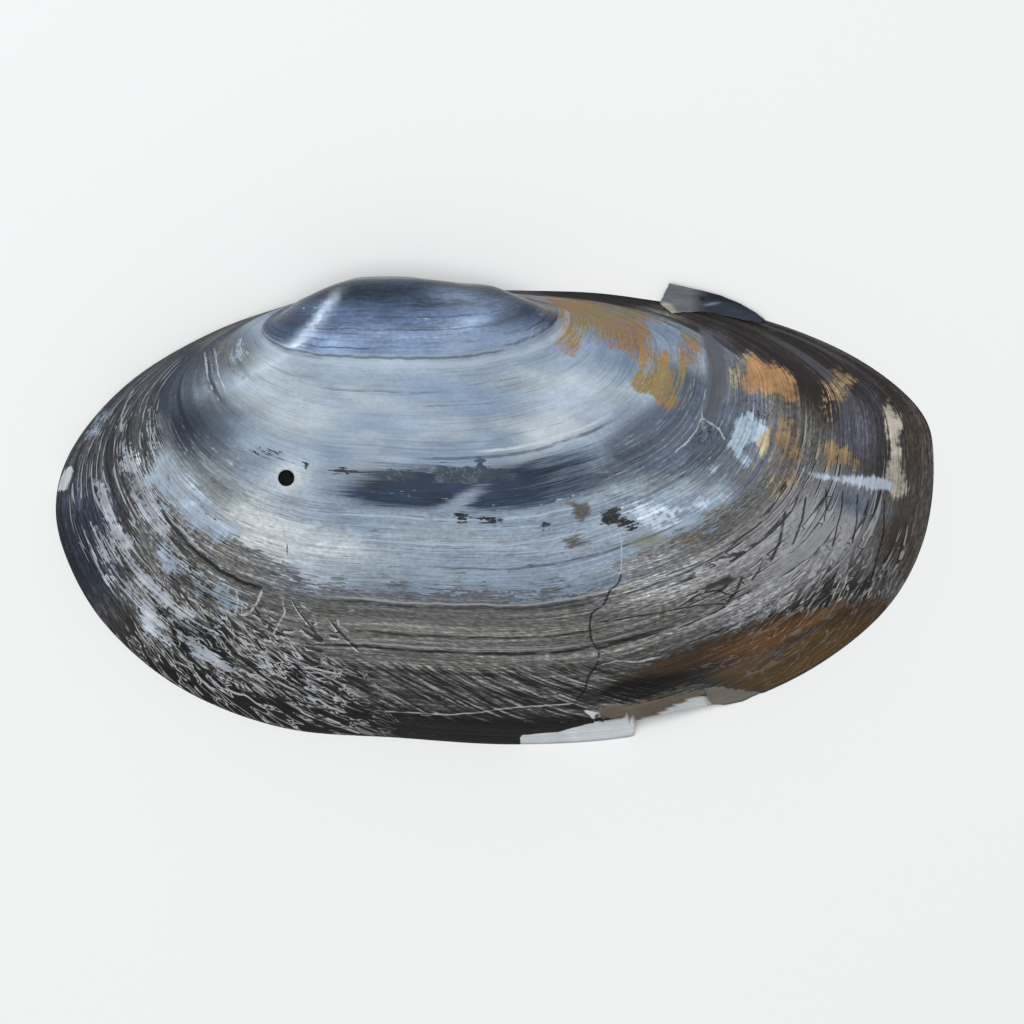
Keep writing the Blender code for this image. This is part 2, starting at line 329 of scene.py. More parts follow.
# Hole in a grid: a block round it becomes a ring of quads, whose inner loop is the hole's circle.
# Height, stage and around at the circle come from a quadratic in x and y fitted to the block.
def openHole(grid, stage, aroundGrid, index, size, radii, side):
    plan = np.hypot(grid[..., 0] - valve["holePlace"][0], grid[..., 1] - valve["holePlace"][1])
    plan = plan + 100.0 * (stage < 0.4)
    r, c = np.unravel_index(np.argmin(plan), plan.shape)
    r0, c0 = r - size[0] // 2, c - size[1] // 2
    r1, c1 = r0 + size[0], c0 + size[1]
    skip = np.zeros((grid.shape[0] - 1, grid.shape[1] - 1), bool)
    skip[r0:r1, c0:c1] = True
    block = (slice(r0 - 1, r1 + 2), slice(c0 - 1, c1 + 2))
    dx = (grid[block][..., 0] - valve["holePlace"][0]).ravel()
    dy = (grid[block][..., 1] - valve["holePlace"][1]).ravel()
    known = [values[block].ravel() for values in (grid[..., 2], stage, aroundGrid)]
    terms = lambda x, y: np.stack([np.ones_like(x), x, y, x * x, x * y, y * y], axis=-1)
    fit = np.linalg.lstsq(terms(dx, dy), np.stack(known, axis=-1), rcond=None)[0]
    loop = blockLoop(r0, r1, c0, c1)
    edge = grid[loop[:, 0], loop[:, 1]]
    angle = np.arctan2(edge[:, 1] - valve["holePlace"][1], edge[:, 0] - valve["holePlace"][0])
    way = np.sign(np.sum(np.diff(np.unwrap(angle))))
    even = angle[0] + way * np.linspace(0, 2 * math.pi, len(loop), endpoint=False)
    rings = [index[loop[:, 0], loop[:, 1]]]
    for k, (beyond, sink) in enumerate(radii):
        turn = np.unwrap(angle) * 0.5 + even * 0.5 if k == 0 else even
        radius = valve["holeRadius"] + beyond
        x, y = radius * np.cos(turn), radius * np.sin(turn)
        z, s, t = (terms(x, y) @ fit).T
        points = np.stack([x + valve["holePlace"][0], y + valve["holePlace"][1], z - sink], axis=-1)
        rings.append(parts.addPoints(points, s, t, side))
    return skip, np.array(rings)


# Ring faces: quads between loops that are closed on themselves.
def ringFaces(rings, flip, material):
    a, b = rings[:-1], np.roll(rings[:-1], -1, axis=1)
    d, c = rings[1:], np.roll(rings[1:], -1, axis=1)
    parts.addFaces(np.stack([a, b, c, d] if flip else [a, d, c, b], axis=-1).reshape(-1, 4), material)


outerIndex = addGrid(outer, stageOut, aroundOut, 0)
innerIndex = addGrid(inner, stageIn, aroundIn, 2)
skipOut, ringsOut = openHole(outer, stageOut, aroundOut, outerIndex, (10, 10), valve["outerHoleRings"], 0)
skipIn, ringsIn = openHole(inner, stageIn, aroundIn, innerIndex, (4, 16), valve["innerHoleRings"], 2)
gridFaces(outerIndex, False, 0, skipOut)
gridFaces(innerIndex, True, 1, skipIn)
ringFaces(ringsOut, False, 0)
ringFaces(ringsIn, True, 1)

# The hole's wall joins the two circles point to point.
soFar = np.concatenate(parts.points)[:, :2]
startIn = np.argmin(np.linalg.norm(soFar[ringsIn[-1]] - soFar[ringsOut[-1][0]], axis=1))
ringFaces(np.array([ringsOut[-1], np.roll(ringsIn[-1], -startIn)]), False, 1)

# The rim joins the last rows, and the flat hinge plate closes the rest.
rim = np.array([outerIndex[-1], innerIndex[-1]])
parts.addFaces(np.stack([rim[0, :-1], rim[1, :-1], rim[1, 1:], rim[0, 1:]], axis=-1), 1)
outerHinge = np.concatenate([outerIndex[::-1, 0], outerIndex[1:, -1]])
innerHinge = np.concatenate([innerIndex[::-1, 0], innerIndex[1:, -1]])
parts.addFaces([np.concatenate([outerHinge, innerHinge[::-1]])], 1)


# Piece: a mesh of points in metres and their faces, in an object at the origin.
def addPiece(name, points, faces, smooth):
    mesh = bpy.data.meshes.new(name)
    mesh.from_pydata(np.asarray(points).tolist(), [], faces)
    mesh.polygons.foreach_set("use_smooth", smooth)
    mesh.update()
    piece = bpy.data.objects.new(name, mesh)
    bpy.context.scene.collection.objects.link(piece)
    return piece


points = (np.concatenate(parts.points) + place) / 1000.0
stages, arounds, sides = (np.concatenate(rows) for rows in (parts.stages, parts.arounds, parts.sides))
musselValve = addPiece("mussel_valve", points, parts.faces, np.ones(len(parts.faces), bool))
mesh = musselValve.data
mesh.polygons.foreach_set("material_index", np.array(parts.materials, np.int32))
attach(musselValve, "root")
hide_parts("valve")
print("valve built:", len(points), "points", len(parts.faces), "faces")


# Studio, in metres: the eye stands straight above the valve, and looks at viewCentre. Each light is a
# strip from start to end, turned to its aim; the two narrow ones only show as gloss.
studio = {
    "cameraHeight": 1.2, "viewWidth": 0.1398, "viewCentre": (0.00239, -0.00013),
    "floorReach": 3.0, "floorColour": (0.80, 0.80, 0.79, 1.0), "floorRoughness": 0.9,
    "worldColour": (0.93, 0.96, 1.0, 1.0), "worldStrength": 0.48,
    "lights": {
        "key": {"start": (-0.10, -0.30, 1.00), "end": (-0.10, 0.50, 1.00), "aim": (0.0, 0.0, 0.0),
            "width": 0.9, "watts": 8.2},
        "front_strip": {"start": (-0.092, 0.182, 0.006), "end": (-0.147, 0.135, 0.055),
            "aim": (-0.024, 0.026, 0.014), "width": 0.008, "watts": 0.42, "glossOnly": True,
            "colour": (0.72, 0.86, 1.0)},
        "back_strip": {"start": (0.091, 0.202, 0.010), "end": (0.003, 0.163, 0.159),
            "aim": (-0.004, 0.025, 0.015), "width": 0.008, "watts": 0.16, "glossOnly": True,
            "colour": (0.72, 0.86, 1.0)},
    },
}

# Colours as they look in daylight, each 0 to 255.
tones = {
    "umboTop": (42, 52, 66), "umboMiddle": (86, 102, 130), "umboLow": (133, 153, 184),
    "umboFront": (44, 62, 88), "umboBack": (28, 40, 60), "haze": (140, 154, 170),
    "hazeBlue": (116, 134, 158), "milk": (170, 183, 196), "cream": (176, 185, 183), "navy": (10, 34, 58),
    "slate": (31, 38, 51), "mist": (132, 147, 164), "pearl": (186, 194, 200), "steel": (84, 92, 105),
    "ochre": (142, 108, 36), "rust": (136, 92, 48), "straw": (160, 150, 122), "strawDim": (132, 112, 82),
    "rustPatch": (174, 134, 92), "olive": (124, 126, 112), "ochreDim": (132, 118, 78),
    "chalk": (192, 196, 198), "chipLip": (98, 89, 76), "chipBrown": (110, 103, 95),
    "skyWhite": (160, 177, 192), "tailWhite": (158, 152, 140), "ledge": (172, 182, 194),
    "crust": (32, 33, 32), "crustPale": (84, 82, 80), "crustBlue": (44, 54, 66), "cleft": (24, 26, 28),
    "flake": (152, 157, 164), "flakeBlue": (140, 152, 166), "skinGrey": (100, 99, 97),
    "skinDark": (52, 51, 49), "skinLeft": (58, 58, 61), "skinEdge": (38, 43, 54),
    "skinSlate": (58, 66, 82), "skinBack": (138, 138, 140), "skinBrown": (54, 40, 26),
    "skinGloss": (74, 54, 22), "skinBlack": (14, 11, 10), "skinDorsal": (44, 38, 35),
    "skinWarm": (62, 55, 50), "bottom": (14, 13, 12), "violet": (88, 87, 100), "skinTail": (56, 54, 54),
    "wedge": (88, 89, 96), "greyBand": (86, 95, 110), "skinPale": (150, 150, 151),
    "ridgePale": (176, 177, 179), "skinAmber": (84, 56, 28), "umber": (36, 30, 28),
    "wingGrey": (100, 103, 106), "wingBlue": (31, 34, 41), "highlightBlue": (150, 170, 198),
    "nacre": (214, 214, 210), "nacreBlue": (198, 207, 215), "nacreRose": (218, 206, 205),
    "nacreGreen": (196, 214, 200), "scar": (176, 180, 184), "rimHorn": (120, 112, 100),
    "mottle": (84, 88, 84), "moss": (116, 104, 50), "tan": (132, 112, 86), "greyShell": (104, 110, 121),
}


# Light value of a colour: ((c + 0.055) / 1.055) ^ 2.4 for each share c.
def tone(name):
    return ((np.array(tones[name]) / 255.0 + 0.055) / 1.055) ** 2.4


# Soft clouds of colour on the bare shell: place, size, turn, colour and strength.
shellClouds = (
    ((9.0, -13.5), (12.0, 2.6), -4, "hazeBlue", 0.8), ((15.0, -16.0), (9.0, 3.0), 6, "hazeBlue", 0.7),
    ((2.0, -20.5), (20.0, 4.0), 0, "hazeBlue", 0.8), ((27.0, -14.0), (11.0, 7.0), 35, "milk", 0.9),
    ((24.0, -19.5), (12.0, 4.0), 14, "milk", 0.9), ((-13.0, -13.0), (9.0, 6.0), -30, "cream", 0.7),
    ((2.0, -10.3), (20.0, 1.8), 0, "milk", 0.8), ((-10.0, -18.0), (9.0, 5.0), -10, "cream", 0.5),
    ((-11.0, -25.7), (5.5, 4.2), 0, "pearl", 0.9), ((-10.9, -25.7), (2.2, 2.2), 0, "chalk", 1.2),
    # The pearl and chalk clouds round (-14, -32.6) brighten the pale shell there into a soft painted sheen.
    ((-14.0, -33.0), (9.0, 4.5), -20, "cream", 0.9), ((-14.0, -32.4), (9.0, 4.6), -25, "pearl", 1.7),
    ((-14.5, -32.8), (8.5, 4.0), -20, "chalk", 1.8), ((29.0, -34.5), (8.0, 3.0), 8, "milk", 0.7),
    ((39.5, -32.0), (8.0, 3.4), 24, "milk", 0.6), ((-11.0, -14.5), (9.0, 5.0), -20, "milk", 0.6),
    ((-5.0, -35.0), (11.0, 3.6), -6, "pearl", 1.2), ((-3.0, -31.0), (8.0, 3.0), -10, "hazeBlue", 0.7),
    ((6.0, -33.0), (12.0, 4.0), 0, "mist", 0.9), ((-17.0, -29.0), (5.0, 6.0), -35, "cream", 0.5),
    ((26.0, -33.0), (12.0, 4.0), 10, "mist", 0.9), ((40.5, -30.3), (8.5, 2.6), 20, "haze", 1.0),
    ((47.5, -28.3), (4.0, 2.2), 35, "haze", 1.0), ((38.0, -20.5), (9.0, 5.5), 35, "steel", 1.4),
    ((44.5, -22.0), (7.0, 4.5), 40, "steel", 1.2), ((32.0, -25.5), (8.0, 3.0), 18, "steel", 1.0),
    ((-18.5, -8.5), (5.0, 5.5), -35, "mottle", 1.4), ((-20.5, -27.0), (5.0, 4.0), -35, "mottle", 0.7),
    ((-20.0, -35.0), (4.0, 2.0), -30, "steel", 0.7), ((-25.0, -14.0), (6.0, 10.0), -20, "slate", 1.7),
    ((-21.6, -20.5), (5.0, 6.0), -30, "slate", 0.6), ((25.0, -18.8), (9.0, 3.2), 14, "pearl", 0.9),
)

# Soft clouds on the skin.
skinClouds = (
    ((-33.0, -18.0), (9.0, 12.0), -20, "skinLeft", 1.5),
    ((-38.0, -32.0), (9.0, 14.0), 15, "skinSlate", 1.2),
    ((-36.0, -12.0), (8.0, 6.0), 30, "skinSlate", 1.0),
    ((-40.0, -36.0), (7.0, 14.0), 25, "skinEdge", 1.2),
    ((-28.0, -38.0), (12.0, 8.0), -38, "skinGrey", 1.0),
    ((-31.0, -20.0), (4.5, 11.0), 15, "skinLeft", 1.0), ((-25.0, -13.0), (6.0, 9.0), -25, "slate", 2.0),
    ((-24.0, -50.0), (12.0, 6.0), -30, "skinDark", 1.2),
    ((-10.0, -53.0), (12.0, 7.0), -10, "skinDark", 1.2),
    ((60.0, -33.0), (16.0, 10.0), 30, "skinBack", 1.3), ((45.0, -38.0), (16.0, 4.0), 18, "skinBack", 0.8),
    ((55.0, -41.0), (17.0, 4.5), 24, "skinBack", 1.2), ((36.0, -54.5), (9.0, 2.6), 8, "skinBlack", 1.4),
    ((-27.0, -48.0), (7.0, 4.0), -35, "skinDark", 1.2), ((39.0, -39.0), (13.0, 5.0), 14, "skinPale", 1.7),
    ((32.0, -0.5), (17.0, 3.2), -4, "umber", 1.8), ((52.0, -6.0), (17.0, 8.0), -28, "skinDorsal", 2.0),
    ((66.0, -14.0), (13.0, 9.0), -40, "skinDorsal", 2.0), ((69.0, -22.0), (7.0, 8.0), 0, "skinTail", 1.4),
    ((66.5, -19.0), (5.0, 8.0), -10, "violet", 0.9), ((47.5, -12.0), (3.6, 9.0), 0, "violet", 1.3),
    ((72.0, -34.0), (5.0, 9.0), 8, "skinWarm", 1.3), ((75.0, -20.0), (3.0, 11.0), 0, "skinWarm", 1.3),
    ((66.0, -29.0), (8.0, 3.0), -20, "steel", 1.0),
)


# Paint: each cloud in turn is laid over what is there.
def laidOver(paint, x, y, clouds):
    for place, size, turn, name, strength in clouds:
        cover = np.minimum(strength * patch(x, y, place, size, turn), 1.0)
        paint = paint + (tone(name) - paint) * cover[..., None]
    return paint


# Mixed: a colour laid over the paint where the mask says.
def mixed(paint, name, mask):
    return paint + (tone(name) - paint) * np.asarray(mask)[..., None]


# Bare shell: bands by stage of growth, then the clouds, then the beak's dark dome, darker towards its top
# partly by painted shade, with a painted highlight on its upper right.
def shellPaint(x, y, stage, around):
    paint = np.broadcast_to(tone("haze"), (len(x), 3))
    paint = mixed(paint, "mist", rise(stage, 0.48, 0.62))
    paint = mixed(paint, "pearl", 0.7 * rise(stage, 0.56, 0.66) * (1 - rise(x, -14, 0)))
    paint = mixed(paint, "greyShell", window(stage, 0.60, 0.90, 0.02) * window(around, 0.665, 0.90, 0.02))
    paint = laidOver(paint, x, y, shellClouds)
    paint = mixed(paint, "hazeBlue", 0.8 * window(stage, 0.470, 0.520, 0.012) * window(x, -6.0, 20.0, 3.0))
    ring = stage + 0.012 * rough(around * 10, 0.0, 95)
    paint = mixed(paint, "hazeBlue", patch(x, y, (36.0, -7.0), (12.0, 9.0)))
    slate = window(ring, 0.480, 0.665, 0.035) * window(around, 0.03, 0.262, 0.04)
    steel = window(ring, 0.555, 0.625, 0.025) * window(around, 0.26, 0.305, 0.02)
    grey = window(ring, 0.530, 0.640, 0.010) * window(around, 0.625, 0.745, 0.010)
    for name, mask in (("slate", 0.95 * slate), ("steel", 0.40 * steel), ("greyBand", grey)):
        paint = mixed(paint, name, mask)
    umbo = 1 - rise(stage, *valve["domeEdge"])
    # The dome darkens towards its top, from umboMiddle to umboTop: partly its own colour and partly painted
    # shade.
    down = rise(-y, -1.5, 8.5)
    ground = tone("umboTop") + (tone("umboMiddle") - tone("umboTop")) * rise(down, 0.0, 0.55)[..., None]
    ground = mixed(ground, "umboLow", rise(down, 0.45, 1.0) * (1 - rise(x, 4, 18)))
    ground = mixed(ground, "umboFront", rise(-x, 5.0, 11.0))
    ground = mixed(ground, "umboBack", 0.8 * rise(x, 14.0, 21.0))
    ground = mixed(ground, "hazeBlue", 0.9 * patch(x, y, (14.0, -1.2), (8.5, 2.4), -8))
    # A painted highlight: a pale bluish streak across the upper right of the dome.
    ground = mixed(ground, "highlightBlue", np.minimum(1.1 * patch(x, y, (12.6, -4.9), (6.5, 1.3), 20), 0.8))
    ground = mixed(ground, "hazeBlue", 0.8 * rise(down, 0.50, 1.05) * window(x, 8.0, 24.0, 3.0))
    return paint + (ground - paint) * umbo[..., None]


# Navy: a dark band below the pale one, with a paler slash across it. Edges are stages of growth, and each
# fade is a share of the band and the stretch of x over which it comes or goes.
navyLook = {
    "upperEdge": (0.512, 0.552), "lowerEdge": (0.588, 0.614), "waver": 0.006,
    "frontFade": ((0.25, -10.0, -2.0), (0.75, -5.0, 4.0)),
    "backFade": ((0.3, 19.0, 27.0), (1.0, 27.0, 37.0)),
    "slash": (((12.3, -28.9), (8.2, 2.4), 33, 0.9),),
}


# Navy band: between its two wavering edges, times its fades and what the slash leaves.
def navyBand(x, y, stage, around):
    ring = stage + navyLook["waver"] * rough(around * 12, 0.0, 91)
    band = rise(ring, *navyLook["upperEdge"]) * (1 - rise(ring, *navyLook["lowerEdge"]))
    for share, start, end in navyLook["backFade"]:
        band = band * (1 - share * rise(x, start, end))
    front = sum(share * rise(x, start, end) for share, start, end in navyLook["frontFade"])
    return band * front * (1 - patches(x, y, navyLook["slash"]))


# Skin: darker bands by stage, then the clouds.
def skinPaint(x, y, stage, around):
    paint = np.broadcast_to(tone("skinGrey"), (len(x), 3))
    paint = mixed(paint, "steel", 0.5 * (1 - rise(stage, 0.75, 0.78)) * window(around, 0.33, 0.60, 0.03))
    paint = mixed(paint, "skinDark", 0.8 * rise(stage, 0.86, 0.92))
    paint = laidOver(paint, x, y, skinClouds)
    return mixed(paint, "bottom", rise(stage, 0.935, 0.955) * window(around, 0.28, 0.56, 0.03))


# Where the skin begins: a share of the way round, the stage of its edge there, and how ragged the edge is.
skinEdge = (
    (0.0, 0.52, 0.03), (0.12, 0.61, 0.04), (0.18, 0.645, 0.06), (0.24, 0.69, 0.08), (0.3, 0.71, 0.07),
    (0.335, 0.715, 0.06), (0.36, 0.74, 0.04), (0.46, 0.725, 0.035), (0.56, 0.735, 0.035),
    (0.62, 0.715, 0.03), (0.66, 0.7, 0.03), (0.7, 0.72, 0.03), (0.74, 0.715, 0.02), (0.78, 0.665, 0.012),
    (0.82, 0.645, 0.01), (0.88, 0.62, 0.01), (0.93, 0.6, 0.01), (1.0, 0.55, 0.01),
)

# Thin places on the skin, and films of skin left on the bare shell: place, size, turn and strength.
thinPlaces = (
    ((51.0, -21.0), (6.0, 6.0), 40, -1.6), ((47.0, -26.0), (7.0, 3.0), 40, -1.0),
    ((-17.0, -36.5), (6.0, 2.0), -32, 0.9), ((-21.0, -31.0), (6.0, 1.6), -42, 0.7),
    ((-30.0, -26.0), (3.0, 9.0), 10, -0.6), ((-24.0, -36.0), (3.0, 9.0), 40, -0.3),
    ((-21.0, -24.0), (4.0, 6.0), -20, 0.35), ((20.0, -37.0), (9.0, 2.0), 0, 0.8),
    ((28.0, -33.5), (9.0, 3.0), 8, 0.9), ((38.0, -36.0), (7.0, 2.0), 15, 0.6),
    ((15.0, -30.5), (7.0, 2.0), -3, 0.9), ((9.0, -24.5), (14.0, 1.4), 0, 0.9),
    ((-16.5, -22.5), (4.0, 1.0), -25, 0.9), ((-19.5, -10.5), (3.0, 5.0), -20, 0.8),
    ((42.0, -30.0), (9.0, 3.4), 20, -2.0), ((49.0, -27.0), (4.0, 3.0), 40, -1.2),
    ((-14.5, -32.8), (7.5, 4.0), -20, -0.9),
)


# Brown skin: a glossy tongue of thicker skin along the back half of the belly margin.
brownSkin = {
    "outline": (
        (31.1, -56.0), (31.8, -54.6), (34.8, -52.7), (38.9, -50.8), (43.7, -48.9), (47.8, -47.2),
        (51.2, -45.9), (55.3, -44.2), (59.0, -43.4), (63.5, -42.7), (67.6, -41.6), (70.3, -42.3),
        (71.0, -44.0), (68.0, -46.7), (64.8, -49.1), (61.4, -51.5), (57.3, -53.8), (53.5, -55.0),
        (49.1, -54.4), (45.1, -54.1), (39.6, -55.3), (34.8, -56.2),
    ),
    "clouds": (
        ((54.0, -47.6), (15.0, 3.0), 24, "skinAmber", 1.1),
        ((60.0, -49.6), (13.0, 4.6), 32, "skinGloss", 1.4),
        ((52.0, -52.6), (9.0, 2.2), 12, "skinGloss", 1.3),
        ((38.0, -54.8), (14.0, 3.0), 8, "skinBlack", 2.6),
        ((46.0, -51.6), (9.0, 1.4), 18, "skinBlack", 0.9),
        ((58.0, -47.6), (9.0, 1.0), 28, "skinBlack", 0.7),
    ),
}


# Skin cover: over 0 where there is skin. It grows with the distance past the skin's own edge.
def skinCover(x, y, stage, around):
    stations = np.array(skinEdge)
    edge, spread = (np.interp(around, stations[:, 0], stations[:, k]) for k in (1, 2))
    return np.clip((stage - edge) / spread, -1.3, 1.3) + patches(x, y, thinPlaces)


# Iron stain on the bare shell behind the beak: place, size, turn and strength.
stainPlaces = (
    ((28.0, -2.6), (7.0, 3.2), -8, 2.1), ((27.0, -6.5), (2.8, 4.0), 15, 1.2),
    ((33.5, -4.8), (6.4, 4.4), -20, 2.2), ((36.5, -7.5), (2.8, 5.5), 15, 1.3),
    ((40.0, -11.5), (2.6, 5.0), 0, 1.2), ((37.5, -12.5), (3.0, 2.4), 0, 1.0),
    ((43.6, -9.5), (2.6, 6.5), 5, 1.2), ((36.5, -3.0), (7.0, 1.6), -18, 0.9),
    ((21.5, -0.8), (2.0, 1.5), 0, 0.5), ((42.0, -15.0), (5.0, 4.5), 30, 0.35),
    ((57.0, -19.5), (3.0, 7.0), 8, 1.2), ((55.0, -24.0), (2.4, 5.0), -20, 1.0),
    ((51.0, -26.0), (2.0, 5.0), -30, 0.6),
)

